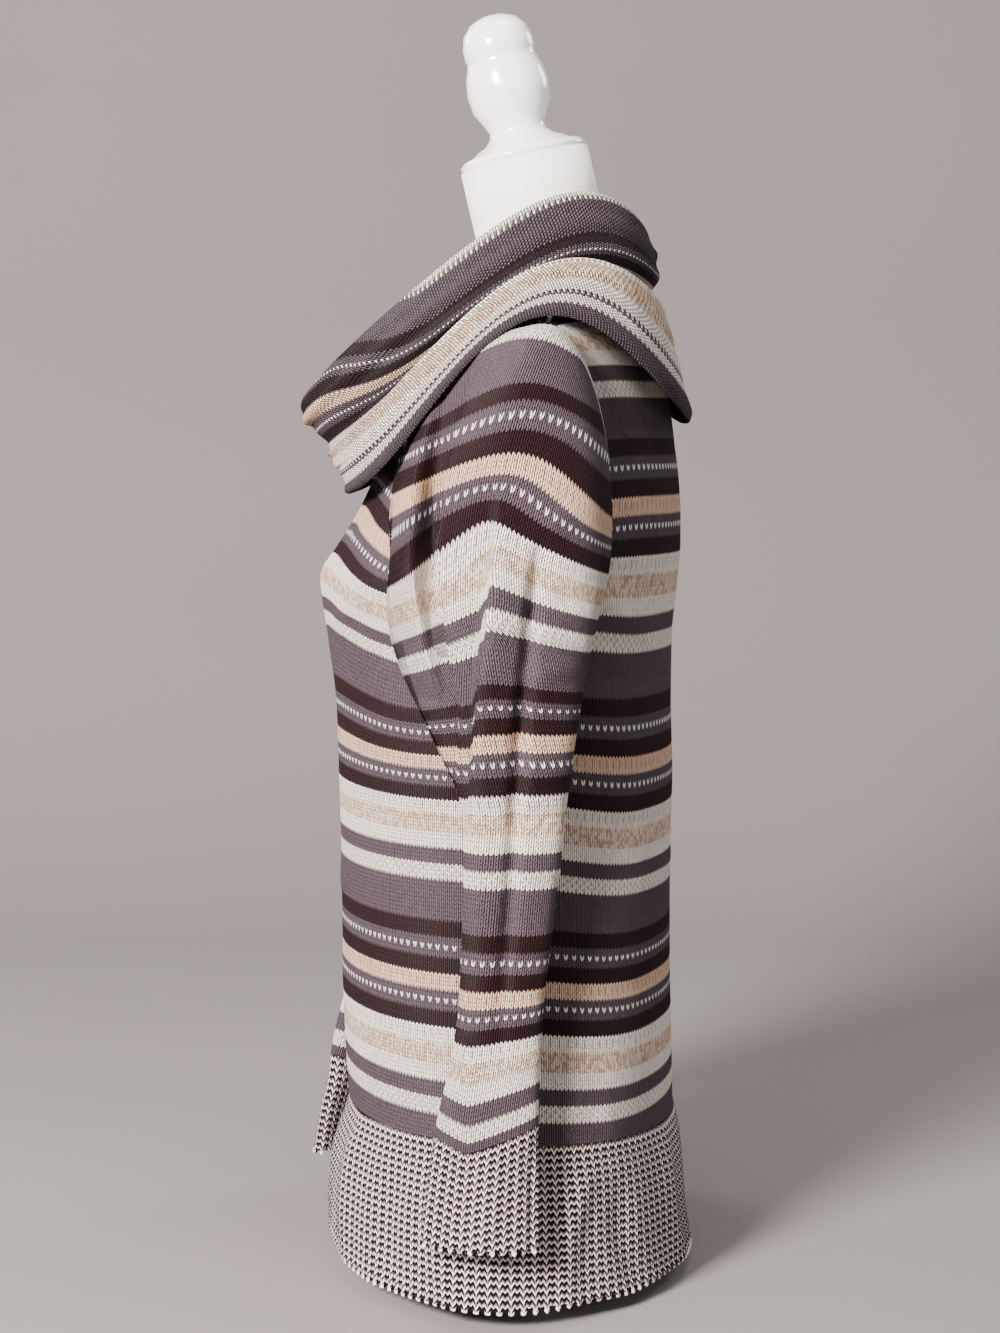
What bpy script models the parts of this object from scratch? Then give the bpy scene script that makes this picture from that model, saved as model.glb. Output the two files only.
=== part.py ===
"""A cowl neck tunic sweater on a limbless dress form, built as the pieces a maker would sew.

Metres, +Z up, the garment's front towards -Y, the wearer's left towards +X. The form stands on z = 0
and the hem hangs just above it. Every piece of cloth is an open surface, lofted through sections whose
sizes stand in the tables below, and given its thickness by a Solidify modifier. The sections of the
body are half ellipses. A sleeve is laid along the body's side, so it is measured from that same surface.
"""

import bpy
import numpy as np

# --- Driving dimensions -----------------------------------------------------------------------------

WALL = 0.0024              # thickness of the knit
CENTRE_Y = 0.0047          # every piece is moved back by this, so that the whole stands over the origin
SEAM = 0.0005              # gap between two sewn pieces on their outer face; inside it closes to 0.3 mm
Y_SIDE = 0.004             # where the side seams run
Z_HEM = 0.012              # the hem's height above the surface the form stands on
Z_UNDERARM = 0.475
Z_CHEST = 0.600            # above this the panels turn in towards the shoulder and the neck
Z_CUFF_SEAM = 0.136
Z_CUFF_END = 0.060
SHOULDER_POINT = (0.176, 0.028, 0.679)
NECK_POINT = (0.088, 0.040, 0.712)       # where the shoulder seam meets the neckline
NECK_FRONT = (-0.070, 0.628)             # y and z of the neckline at centre front
NECK_BACK = (0.094, 0.700)
BAND_SEAM = (0.1205, 0.1235, 0.1115)     # height of the hem band's seam in front, at the side, behind

# The sweater's body at each height: half its width, and where its front and its back lie.
BODY = (
    # z, half_width, front, back
    (0.012, 0.201, -0.1270, 0.1405),
    (0.040, 0.196, -0.1265, 0.1370),
    (0.070, 0.191, -0.1245, 0.1350),
    (0.095, 0.187, -0.1205, 0.1320),
    (0.118, 0.184, -0.1155, 0.1272),
    (0.140, 0.182, -0.1170, 0.1268),
    (0.200, 0.177, -0.1195, 0.1250),
    (0.300, 0.169, -0.1205, 0.1245),
    (0.360, 0.168, -0.1220, 0.1260),
    (0.410, 0.169, -0.1235, 0.1245),
    (0.460, 0.172, -0.1295, 0.1250),
    (0.505, 0.175, -0.1350, 0.1290),
    (0.530, 0.176, -0.1210, 0.1310),
    (0.550, 0.176, -0.1085, 0.1310),
    (0.570, 0.175, -0.0985, 0.1300),
    (0.600, 0.174, -0.0870, 0.1265),
    (0.640, 0.172, -0.0680, 0.1160),
    (0.680, 0.168, -0.0450, 0.1000),
)
BODY_COLUMNS = ("z", "half_width", "front", "back")

# The armhole's edge on the front and on the back panel, as y at each height.
ARMHOLE = (
    # z, front, back
    (0.475, 0.004, 0.004),
    (0.479, -0.024, 0.030),
    (0.490, -0.050, 0.053),
    (0.510, -0.068, 0.065),
    (0.545, -0.0765, 0.070),
    (0.570, -0.0745, 0.071),
    (0.600, -0.0680, 0.069),
)
ARMHOLE_COLUMNS = ("z", "front", "back")

# The sleeve at each height, below the level where it hangs free of the armhole: y of its front edge, of
# the main fold's ridge and of its back edge, its gap to the body and how thick it hangs. In front of the
# ridge it lies lower by the recess.
SLEEVE = (
    # z, front, ridge, back, gap, thick, recess
    (0.030, -0.0560, -0.0450, 0.0300, 0.006, 0.025, 0.0000),
    (0.060, -0.0545, -0.0440, 0.0290, 0.006, 0.025, 0.0000),
    (0.136, -0.0495, -0.0400, 0.0280, 0.006, 0.028, 0.0010),
    (0.200, -0.0390, -0.031, 0.031, 0.006, 0.032, 0.0020),
    (0.300, -0.0330, -0.025, 0.041, 0.006, 0.037, 0.0040),
    (0.352, -0.0320, -0.0245, 0.0475, 0.006, 0.039, 0.0080),
    (0.390, -0.0430, -0.0225, 0.0510, 0.006, 0.042, 0.0150),
    (0.430, -0.0560, -0.0200, 0.0540, 0.006, 0.045, 0.0180),
)
SLEEVE_COLUMNS = ("z", "front", "ridge", "back", "gap", "thick", "recess")

# The left sleeve hangs narrower: how far its front and its back edge are drawn in at each height.
LEFT_DRAWN_IN = (
    # z, front, back
    (0.030, 0.0095, 0.0090),
    (0.068, 0.0100, 0.0090),
    (0.136, 0.0145, 0.0085),
    (0.200, 0.0145, 0.0105),
    (0.300, 0.0135, 0.0130),
    (0.385, 0.0125, 0.0160),
    (0.430, 0.0105, 0.0150),
)
LEFT_DRAWN_IN_COLUMNS = ("z", "front", "back")
Z_SLEEVE_FREE = 0.430

# Round the armhole, from the shoulder down the front to the underarm and up the back: how the sleeve
# leaves the seam, as a step along each axis.
SLEEVE_LEAVES = (
    # turn, x, y, z
    (0.00, 0.034, -0.004, -0.006),
    (0.12, 0.036, -0.004, -0.016),
    (0.25, 0.020, -0.014, -0.045),
    (0.38, 0.010, -0.006, -0.030),
    (0.50, 0.009, 0.000, -0.010),
    (0.62, 0.012, 0.004, -0.030),
    (0.75, 0.024, 0.004, -0.045),
    (0.88, 0.034, 0.004, -0.020),
    (1.00, 0.034, -0.004, -0.006),
)
SLEEVE_LEAVES_COLUMNS = ("turn", "x", "y", "z")
RIGHT_SWING = 0.68         # how far the right sleeve has swung forward round the hip at its end, in radians
RIGHT_STANDS_OFF = 0.012   # and how much further it stands off the body there
RIGHT_DROP = 0.016         # and how much lower its end hangs

# The cowl's sections, from the neckline up the inside, over the fold and down the outside to its free
# edge. y and z at centre front and centre back, half the width at the side, and the height of the side
# and of the quarters between.
COWL = (
    # front, back, half_width, z_front, z_quarter_front, z_side, z_quarter_back, z_back
    (-0.0655, 0.0855, 0.0812, 0.6345, 0.6720, 0.7200, 0.7260, 0.7120),
    (-0.0900, 0.0860, 0.0810, 0.6350, 0.6690, 0.7300, 0.7450, 0.7310),
    (-0.1150, 0.0880, 0.0820, 0.6320, 0.6680, 0.7370, 0.7660, 0.7480),
    (-0.1390, 0.0960, 0.0880, 0.6330, 0.6690, 0.7410, 0.7770, 0.7590),
    (-0.1475, 0.1010, 0.0930, 0.6350, 0.6700, 0.7420, 0.7800, 0.7620),
    (-0.1490, 0.1060, 0.1000, 0.6290, 0.6640, 0.7340, 0.7740, 0.7560),
    (-0.1430, 0.1110, 0.1070, 0.6180, 0.6500, 0.7180, 0.7560, 0.7380),
    (-0.1370, 0.1150, 0.1110, 0.6100, 0.6390, 0.7070, 0.7400, 0.7240),
    (-0.1290, 0.1090, 0.1050, 0.6030, 0.6300, 0.6990, 0.7270, 0.7130),
    (-0.1270, 0.1120, 0.1130, 0.5970, 0.6250, 0.7040, 0.7260, 0.7060),
    (-0.1250, 0.1210, 0.1330, 0.5900, 0.6200, 0.7050, 0.7180, 0.6880),
    (-0.1200, 0.1290, 0.1510, 0.5810, 0.6110, 0.6990, 0.6960, 0.6580),
    (-0.1150, 0.1345, 0.1630, 0.5720, 0.6030, 0.6920, 0.6700, 0.6320),
    (-0.1110, 0.1345, 0.1665, 0.5670, 0.5980, 0.6890, 0.6560, 0.6180),
)
COWL_COLUMNS = (
    "front", "back", "half_width", "z_front", "z_quarter_front", "z_side", "z_quarter_back", "z_back",
)

# The dress form: how far its face lies inside the sweater's outer face at each height. It carries the
# sweater at the shoulders. Its neck leans forward.
FORM_INSET = (
    # z, inset
    (0.000, 0.046),
    (0.060, 0.032),
    (0.120, 0.021),
    (0.300, 0.021),
    (0.400, 0.015),
    (0.500, 0.0043),
    (0.570, 0.0045),
    (0.600, 0.0045),
)
FORM_INSET_COLUMNS = ("z", "inset")
SHOULDER_INSET = 0.0036
NECKLINE_INSET = 0.0080
NECKLINE_DROP = 0.0120
NECKLINE_LEVEL = 2.0       # the form reaches the neckline, and stops short of the ridge of the shoulder seams
NECK_SHARE = 0.46          # the share of a panel's top that is neckline, the rest being shoulder seams
THROAT_HALF_WIDTH = 0.060
THROAT_Y = (-0.040, 0.080)
THROAT_Z = (0.652, 0.694, 0.704)         # in front, at the side, behind
NECK_LEAN = np.radians(13.0)
NECK_TOP = (0.0157, 0.8090)              # y and z of the middle of the neck's top
NECK_RADIUS = 0.0475
NECK_LENGTH = 0.050

# The turned finial, from its flange up its own leaning axis.
FINIAL = (
    # height, radius
    (0.0000, 0.0465),
    (0.0040, 0.0470),
    (0.0065, 0.0440),
    (0.0085, 0.0370),
    (0.0110, 0.0340),
    (0.0140, 0.0270),
    (0.0185, 0.0220),
    (0.0235, 0.0205),
    (0.0300, 0.0235),
    (0.0400, 0.0290),
    (0.0520, 0.0306),
    (0.0640, 0.0290),
    (0.0720, 0.0262),
    (0.0755, 0.0252),
    (0.0780, 0.0262),
    (0.0860, 0.0264),
    (0.0950, 0.0238),
    (0.1020, 0.0180),
    (0.1060, 0.0090),
    (0.1070, 0.0000),
)

COLUMNS_PANEL = 22         # steps across a panel
COLUMNS_TUBE = 26          # steps round a sleeve
COLUMNS_COWL = 40
COLUMNS_FORM = 30


# --- Curves through the tables ----------------------------------------------------------------------

def fair(xs, ys, x):
    """A smooth curve through the points that doesn't overshoot between them."""
    xs, ys, x = np.asarray(xs, float), np.asarray(ys, float), np.asarray(x, float)
    step = np.diff(xs)
    rise = np.diff(ys) / step
    slope = np.zeros(len(xs))
    same_way = rise[1:] * rise[:-1] > 0
    slope[1:-1][same_way] = 2 * (rise[1:] * rise[:-1])[same_way] / (rise[1:] + rise[:-1])[same_way]
    slope[0], slope[-1] = rise[0], rise[-1]
    k = np.clip(np.searchsorted(xs, x) - 1, 0, len(step) - 1)
    h = step[k]
    t = np.clip((x - xs[k]) / h, 0, 1)
    first = (1 + 2 * t) * (1 - t) ** 2 * ys[k] + t * (1 - t) ** 2 * h * slope[k]
    last = t ** 2 * (3 - 2 * t) * ys[k + 1] + t ** 2 * (t - 1) * h * slope[k + 1]
    return first + last


def column(table, names, name, at):
    """The named column of a table whose first column is the height or the turn, at a value of that."""
    rows = np.array(table)
    return fair(rows[:, 0], rows[:, names.index(name)], at)


def step_up(x, low, high):
    """0 below low, 1 above high, and smooth between."""
    t = np.clip((np.asarray(x, float) - low) / (high - low), 0, 1)
    return t * t * (3 - 2 * t)


# --- The body's surface -----------------------------------------------------------------------------

def body_point(angle, z, smooth=False):
    """A point of the sweater's body: angle 0 is centre front, a quarter turn the left side seam."""
    half_width = column(BODY, BODY_COLUMNS, "half_width", z)
    front = Y_SIDE - column(BODY, BODY_COLUMNS, "front", z)
    back = column(BODY, BODY_COLUMNS, "back", z) - Y_SIDE
    depth = np.where(np.cos(angle) >= 0, front, back)
    ripple = 0 if smooth else hem_ripple(angle, z)
    x = (half_width + ripple) * np.sin(angle)
    y = Y_SIDE - (depth + ripple) * np.cos(angle)
    return np.stack([x, y, z + 0 * angle], -1)


def hem_ripple(angle, z):
    """The hem band hangs in soft, uneven waves, which die out at its seam."""
    grows = 1 - step_up(z, 0.03, 0.125)
    waves = 0.0022 * np.sin(5 * angle + 0.6) + 0.0016 * np.sin(8 * angle + 2.1)
    return grows * waves


def three_heights(angle, front, side, back):
    """A height that runs smoothly from its value in front (angle 0) over the side's to the one behind."""
    c = np.cos(angle)
    return side + (front - back) / 2 * c + ((front + back) / 2 - side) * c ** 2


def band_seam(angle):
    """The height of the seam between the body and the hem band."""
    return three_heights(angle, *BAND_SEAM)


def armhole_angle(z, face):
    """The angle where a panel ends: at the side seam, or above the underarm at the armhole's edge."""
    y = column(ARMHOLE, ARMHOLE_COLUMNS, face, np.maximum(z, Z_UNDERARM))
    edge = column(BODY, BODY_COLUMNS, face, z)
    from_front = np.arccos(np.clip((y - Y_SIDE) / (edge - Y_SIDE), 0, 1))
    return np.where(z <= Z_UNDERARM, np.pi / 2, from_front)


def panel_top(across, face):
    """The upper edge of a panel: neckline in the middle, shoulder seams at the sides. across is -1 to 1."""
    u = np.abs(across)
    y_middle, z_middle = NECK_FRONT if face == "front" else NECK_BACK
    shoulder = np.clip((u - NECK_SHARE) / (1 - NECK_SHARE), 0, 1)[..., None]
    half_seam = np.array([0, (-SEAM if face == "front" else SEAM) * 3, 0])
    corner = np.array(SHOULDER_POINT) - np.array([2 * SEAM, 0, 2 * SEAM])
    on_shoulder = np.array(NECK_POINT) * (1 - shoulder) + corner * shoulder + half_seam
    turn = np.clip(u / NECK_SHARE, 0, 1) * np.pi / 2
    x = NECK_POINT[0] * np.sin(turn)
    y = NECK_POINT[1] + (y_middle - NECK_POINT[1]) * np.cos(turn) + half_seam[1]
    z = NECK_POINT[2] + (z_middle - NECK_POINT[2]) * np.cos(turn) ** 1.6
    on_neck = np.stack([x, y, z], -1)
    point = np.where(u[..., None] > NECK_SHARE, on_shoulder, on_neck)
    point[..., 0] *= np.sign(across)
    return point


def panel_point(across, up, face, smooth=False):
    """A point of the front or the back. up is the height to the chest, then runs 1 to 2 to the top."""
    low = np.minimum(up, 1)
    limit_gap = SEAM / 2 / 0.17
    seam = band_seam(across * np.pi / 2 if face == "front" else np.pi - across * np.pi / 2) + SEAM / 2
    z = seam + (Z_CHEST - seam) * low
    reach = armhole_angle(z, face) - limit_gap
    angle = across * reach if face == "front" else np.pi - across * reach
    chest = body_point(angle, z, smooth)
    top = panel_top(across, face)
    turn_in = chest + (top - chest) * np.array([0.40, 0.30, 0.92])
    t = np.clip(up - 1, 0, 1)[..., None]
    return (1 - t) ** 2 * chest + 2 * t * (1 - t) * turn_in + t ** 2 * top


# --- The sleeves ------------------------------------------------------------------------------------

def side_frame(y, z, swing):
    """A point of the body's side at y, moved forward round the body by swing, and the way out there."""
    half_width = column(BODY, BODY_COLUMNS, "half_width", z)
    front = Y_SIDE - column(BODY, BODY_COLUMNS, "front", z)
    back = column(BODY, BODY_COLUMNS, "back", z) - Y_SIDE
    depth = np.where(y < Y_SIDE, front, back)
    turn = np.arcsin(np.clip((Y_SIDE - y) / depth, -1, 1)) + swing
    depth = np.where(turn > 0, front, back)
    point = np.stack([half_width * np.cos(turn), Y_SIDE - depth * np.sin(turn), z + 0 * y], -1)
    out = np.stack([np.cos(turn) / half_width, -np.sin(turn) / depth, 0 * y], -1)
    return point, out / np.linalg.norm(out, axis=-1, keepdims=True)


def sleeve_section(turn, z, hand):
    """A point of the sleeve where it hangs free. turn 0 faces out, a quarter faces front, a half the body."""
    angle = 2 * np.pi * turn
    front, ridge, back, gap, thick, recess = (
        column(SLEEVE, SLEEVE_COLUMNS, name, z) for name in SLEEVE_COLUMNS[1:]
    )
    if hand == "left":
        front = front + column(LEFT_DRAWN_IN, LEFT_DRAWN_IN_COLUMNS, "front", z)
        back = back - column(LEFT_DRAWN_IN, LEFT_DRAWN_IN_COLUMNS, "back", z)
    swings = (1 - step_up(z, 0.05, 0.50)) if hand == "right" else 0 * z
    centre, half = (front + back) / 2, (back - front) / 2
    y = centre - half * np.sign(np.sin(angle)) * np.abs(np.sin(angle)) ** 0.85
    out = np.sign(np.cos(angle)) * np.abs(np.cos(angle)) ** 0.80
    in_front = 1 - step_up(y, ridge - 0.008, ridge + 0.006)
    offset = gap + WALL + thick * (0.5 + 0.5 * out)
    offset = offset - recess * in_front * np.clip(out, 0, 1) ** 0.5
    offset = offset + RIGHT_STANDS_OFF * swings ** 2
    point, way_out = side_frame(y, z, RIGHT_SWING * swings)
    return point + way_out * offset[..., None]


def armhole_loop(turn):
    """The seam of the sleeve round the armhole, just outside the panels' edges."""
    turn = np.asarray(turn, float) % 1.0
    front_side = turn <= 0.5
    along = np.where(front_side, turn, 1 - turn) / 0.5
    stops = (0.30, 0.45, 0.62, 0.80, 0.92, 1.0)
    height = np.interp(along, stops, (0.600, 0.560, 0.520, 0.490, 0.479, 0.475))
    y = np.where(
        front_side,
        column(ARMHOLE, ARMHOLE_COLUMNS, "front", height),
        column(ARMHOLE, ARMHOLE_COLUMNS, "back", height),
    )
    low_part, way_out = side_frame(y, height, 0.0)
    t = np.clip(1 - along / 0.30, 0, 1)[..., None]
    top = np.array(SHOULDER_POINT)
    turn_in = low_part + (top - low_part) * np.array([0.40, 0.30, 0.92])
    edge = (1 - t) ** 2 * low_part + 2 * t * (1 - t) * turn_in + t ** 2 * top
    lift = np.concatenate([way_out[..., :1], way_out[..., 1:2], t], -1)
    lift = lift / np.linalg.norm(lift, axis=-1, keepdims=True)
    return edge + lift * (WALL + 2 * SEAM + 0.0018 * t)


def sleeve_point(turn, down, hand):
    """A point of the sleeve. down is 0 at the armhole, 1 where it hangs free and 2 at the cuff."""
    start = armhole_loop(turn)
    leaves = np.stack(
        [column(SLEEVE_LEAVES, SLEEVE_LEAVES_COLUMNS, name, turn % 1.0) for name in "xyz"], -1
    )
    free = sleeve_section(turn, np.full_like(turn, Z_SLEEVE_FREE), hand)
    above = sleeve_section(turn, np.full_like(turn, Z_SLEEVE_FREE - 0.03), hand)
    rise = (free - above) / 0.03
    climb = (start[..., 2:] - Z_SLEEVE_FREE) * 0.55
    t = np.clip(down, 0, 1)[..., None]
    upper = (
        (1 - t) ** 3 * start
        + 3 * t * (1 - t) ** 2 * (start + leaves)
        + 3 * t ** 2 * (1 - t) * (free + rise * climb)
        + t ** 3 * free
    )
    upper[..., 0] -= upper_recess(upper, turn)
    z = Z_SLEEVE_FREE - (Z_SLEEVE_FREE - Z_CUFF_SEAM) * np.clip(down - 1, 0, 1)
    point = np.where((down > 1)[..., None], sleeve_section(turn, z, hand), upper)
    return hang(point, hand)


def upper_recess(point, turn):
    """In front of the main fold the upper sleeve sinks towards the body; the fold starts below the cap."""
    ridge = -0.0068 - 0.014 * (0.56 - point[..., 2]) / 0.13
    in_front = 1 - step_up(point[..., 1], ridge - 0.010, ridge + 0.006)
    facing = np.clip(np.cos(2 * np.pi * turn), 0, 1) ** 0.5
    below = 1 - step_up(point[..., 2], 0.50, 0.63)
    above = step_up(point[..., 2], 0.405, 0.47)
    return 0.012 * in_front * facing * below * above


def cuff_point(turn, down, hand):
    """A point of the cuff. down runs from 0 at its seam to 1 at its end."""
    z = Z_CUFF_SEAM - SEAM * 0.9 - (Z_CUFF_SEAM - SEAM * 0.9 - Z_CUFF_END) * down
    return hang(sleeve_section(turn, z, hand), hand)


def hang(point, hand):
    """The left sleeve as it is; the right one mirrored, its end a little lower."""
    if hand == "right":
        point = point * np.array([-1, 1, 1])
        point[..., 2] -= RIGHT_DROP * (1 - step_up(point[..., 2], 0.05, 0.45))
    return point


# --- The cowl ---------------------------------------------------------------------------------------

def cowl_point(turn, along):
    """A point of the cowl. turn 0 is centre front, a quarter the left side; along is the section's number."""
    rows = np.array(COWL)
    numbers = np.arange(len(COWL))
    front, back, half_width, *heights = (
        fair(numbers, rows[:, COWL_COLUMNS.index(name)], along) for name in COWL_COLUMNS
    )
    angle = 2 * np.pi * turn
    c = np.cos(angle)
    squarer = 1 - 0.30 * step_up(along, 6, 11)
    x = half_width * np.sign(np.sin(angle)) * np.abs(np.sin(angle)) ** squarer
    y = (front + back) / 2 - (back - front) / 2 * c
    z = quarter_heights(c, heights)
    return np.stack([x, y, z], -1)


def quarter_heights(c, heights):
    """A height that takes its five values at the front, front quarter, side, back quarter and back."""
    places = np.cos(np.radians((0, 45, 90, 135, 180)))
    total = 0
    for i, height in enumerate(heights):
        share = 1
        for j, place in enumerate(places):
            if j != i:
                share = share * (c - place) / (places[i] - place)
        total = total + share * height
    return total


# --- Making the pieces ------------------------------------------------------------------------------

def collection(name):
    made = bpy.data.collections.new(name)
    bpy.context.scene.collection.children.link(made)
    return made


def material(name, color, roughness):
    made = bpy.data.materials.new(name)
    made.use_nodes = True
    shader = made.node_tree.nodes["Principled BSDF"]
    shader.inputs["Base Color"].default_value = (*color, 1)
    shader.inputs["Roughness"].default_value = roughness
    return made


def edged(values):
    """The values with one more close inside each end, so that a piece's edges lie square to its face."""
    values = np.asarray(values, float)
    inset = 0.04 * np.array([values[1] - values[0], values[-2] - values[-1]])
    return np.concatenate(
        [values[:1], values[:1] + inset[:1], values[1:-1], values[-1:] + inset[1:], values[-1:]]
    )


def loft(name, points, finish, parts, closed=False, capped=False):
    """An object whose faces join each row of points to the next; closed joins the last column to the first."""
    rows, columns = points.shape[:2]
    around = columns if closed else columns - 1
    faces = [
        (
            row * columns + i,
            row * columns + (i + 1) % columns,
            (row + 1) * columns + (i + 1) % columns,
            (row + 1) * columns + i,
        )
        for row in range(rows - 1)
        for i in range(around)
    ]
    if capped:
        faces.append(tuple(range(columns))[::-1])
        faces.append(tuple((rows - 1) * columns + i for i in range(columns)))
    mesh = bpy.data.meshes.new(name)
    mesh.from_pydata([tuple(map(float, p)) for p in points.reshape(-1, 3)], [], faces)
    mesh.materials.append(finish)
    mesh.shade_smooth()
    made = bpy.data.objects.new(name, mesh)
    made.location = (0, CENTRE_Y, 0)
    parts.objects.link(made)
    return made


def cloth(name, points, finish, parts, closed=False, inwards=1):
    """A loft with the knit's thickness, laid inwards from it, or for inwards=0 to both sides of it."""
    made = loft(name, points, finish, parts, closed)
    wall = made.modifiers.new("Wall", "SOLIDIFY")
    wall.thickness = WALL
    wall.offset = -inwards
    wall.use_even_offset = False
    return made


def panel(face, finish, parts):
    across = edged(np.linspace(-1, 1, COLUMNS_PANEL + 1))
    up = edged(np.concatenate([np.linspace(0, 0.70, 9), np.linspace(0.75, 1, 6), np.linspace(1.2, 2, 5)]))
    grid_across, grid_up = np.meshgrid(across if face == "front" else across[::-1], up)
    points = panel_point(grid_across, grid_up, face)
    return cloth(f"body_{face}", points, finish, parts)


def hem_band(face, finish, parts):
    gap = SEAM / 2 / 0.19
    reach = edged(np.linspace(-np.pi / 2 + gap, np.pi / 2 - gap, COLUMNS_PANEL + 1))
    angle = reach if face == "front" else reach + np.pi
    grid, down = np.meshgrid(angle, edged(np.linspace(1, 0, 5)))
    z = Z_HEM + (band_seam(grid) - SEAM / 2 - Z_HEM) * (1 - down)
    return cloth(f"hem_band_{face}", body_point(grid, z), finish, parts)


def sleeve(hand, finish, parts):
    turn = np.arange(COLUMNS_TUBE) / COLUMNS_TUBE
    down = edged(np.concatenate([np.linspace(0, 1, 9), np.linspace(1.2, 2, 5)]))[::-1]
    grid, grid_down = np.meshgrid(turn[::-1] if hand == "left" else turn, down)
    return cloth(f"sleeve_{hand}", sleeve_point(grid, grid_down, hand), finish, parts, closed=True)


def cuff(hand, finish, parts):
    turn = np.arange(COLUMNS_TUBE) / COLUMNS_TUBE
    grid, grid_down = np.meshgrid(turn[::-1] if hand == "left" else turn, edged(np.linspace(1, 0, 3)))
    return cloth(f"cuff_{hand}", cuff_point(grid, grid_down, hand), finish, parts, closed=True)


def cowl(finish, parts):
    turn = np.arange(COLUMNS_COWL) / COLUMNS_COWL
    grid, along = np.meshgrid(turn, np.linspace(0, len(COWL) - 1, 17)[::-1])
    return cloth("cowl", cowl_point(grid, along), finish, parts, closed=True, inwards=0)


def form_across():
    """Where the form's columns lie on a panel, from -1 to 1."""
    half = COLUMNS_FORM // 2
    return (np.arange(half) + 0.5) * 2 / half - 1


def throat_angle(across):
    """The way round the throat: the neckline's columns spread over it, the shoulders' crowd at its sides."""
    most = np.radians(78)
    return np.sign(across) * np.interp(np.abs(across), (0, NECK_SHARE, 1), (0, most, np.pi / 2))


def form_ring(up):
    """One level of the form's body: inside the front and the back of the sweater, joined at the sides."""
    across = form_across()
    step = 1e-4
    rings = []
    for face, way in (("front", 1), ("back", -1)):
        u = across * way
        level = up + (NECKLINE_LEVEL - up) * (up > 1.5) * (1 - step_up(np.abs(u), 0.40, 0.62))
        point = panel_point(u, level, face, smooth=True)
        along = panel_point(u + step, level, face, smooth=True) - point
        rise = point - panel_point(u, level - step, face, smooth=True)
        out = np.cross(along, rise) * (1 if face == "front" else -1)
        out = out / np.linalg.norm(out, axis=-1, keepdims=True)
        inset = column(FORM_INSET, FORM_INSET_COLUMNS, "inset", point[..., 2])
        near_neck = 1 - step_up(np.abs(u), 0.40, 0.75)
        at_top = SHOULDER_INSET + (NECKLINE_INSET - SHOULDER_INSET) * near_neck
        inset = inset + (at_top - inset) * step_up(up, 1, 1.5)
        ring = point - out * inset[..., None]
        ring[..., 2] -= NECKLINE_DROP * near_neck * step_up(up, 1, 1.8)
        rings.append(ring)
    return np.concatenate(rings)


def form_torso(finish, parts):
    """The form's body up to its shoulders, the throat, and the leaning neck, as one loft."""
    levels = np.concatenate([[-0.24], np.linspace(-0.12, 0.6, 6), np.linspace(0.7, 1, 5)])
    levels = np.concatenate([levels, (1.25, 1.5, 1.75)])
    rings = [form_ring(level) for level in levels]
    rings[0][:, 2] = 0
    even = np.concatenate([form_across(), 2 + form_across()]) * np.pi / 2
    angle = np.concatenate([throat_angle(form_across()), np.pi + throat_angle(form_across())])
    throat = np.stack(
        [
            THROAT_HALF_WIDTH * np.sin(angle),
            sum(THROAT_Y) / 2 + (THROAT_Y[0] - THROAT_Y[1]) / 2 * np.cos(angle),
            three_heights(angle, *THROAT_Z),
        ],
        -1,
    )
    rings.append(throat)
    for along, share in ((-NECK_LENGTH, 0.5), (-NECK_LENGTH * 0.6, 1), (0, 1)):
        angle = even * share + angle * (1 - share)
        ring_y = -NECK_RADIUS * np.cos(angle)
        y = NECK_TOP[0] + ring_y * np.cos(NECK_LEAN) - along * np.sin(NECK_LEAN)
        z = NECK_TOP[1] + ring_y * np.sin(NECK_LEAN) + along * np.cos(NECK_LEAN)
        rings.append(np.stack([NECK_RADIUS * np.sin(angle), y, z], -1))
    return loft("form_torso", np.array(rings), finish, parts, closed=True, capped=True)


def finial(finish, parts):
    """A turned profile, standing on the neck's sloping top."""
    mesh = bpy.data.meshes.new("finial")
    profile = [(radius, 0, height) for height, radius in FINIAL[::-1]] + [(0, 0, 0)]
    mesh.from_pydata(profile, [(i, i + 1) for i in range(len(profile) - 1)], [])
    mesh.materials.append(finish)
    made = bpy.data.objects.new("finial", mesh)
    parts.objects.link(made)
    gap = 0.0003
    foot_y = CENTRE_Y + NECK_TOP[0] - gap * np.sin(NECK_LEAN)
    made.location = (0, foot_y, NECK_TOP[1] + gap * np.cos(NECK_LEAN))
    made.rotation_euler = (NECK_LEAN, 0, 0)
    turned = made.modifiers.new("Turned", "SCREW")
    turned.steps = turned.render_steps = 28
    turned.use_merge_vertices = True
    turned.merge_threshold = 0.0001
    turned.use_smooth_shade = True
    return made


def main():
    for left_over in list(bpy.data.objects):
        bpy.data.objects.remove(left_over)
    parts = collection("cowl_neck_sweater_on_form")
    striped = material("striped_knit", (0.42, 0.35, 0.34), 0.9)
    cowl_knit = material("cowl_knit", (0.42, 0.35, 0.34), 0.9)
    mesh_knit = material("mesh_knit", (0.30, 0.25, 0.26), 0.9)
    covered = material("form_cover", (0.86, 0.83, 0.78), 0.8)
    painted = material("painted_wood", (0.88, 0.87, 0.84), 0.25)
    for face in ("front", "back"):
        panel(face, striped, parts)
        hem_band(face, mesh_knit, parts)
    for hand in ("left", "right"):
        sleeve(hand, striped, parts)
        cuff(hand, mesh_knit, parts)
    cowl(cowl_knit, parts)
    form_torso(covered, parts)
    finial(painted, parts)


main()
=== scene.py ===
"""The cowl neck tunic sweater on its dress form, dressed over the CAD solids for a render.

Each piece is the solid's own surface, made finer, with creases placed one by one and with its knit
charted in a material: u counts wales and v counts rows, so that a stripe is a number of rows.
"""

from functools import partialmethod

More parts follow.
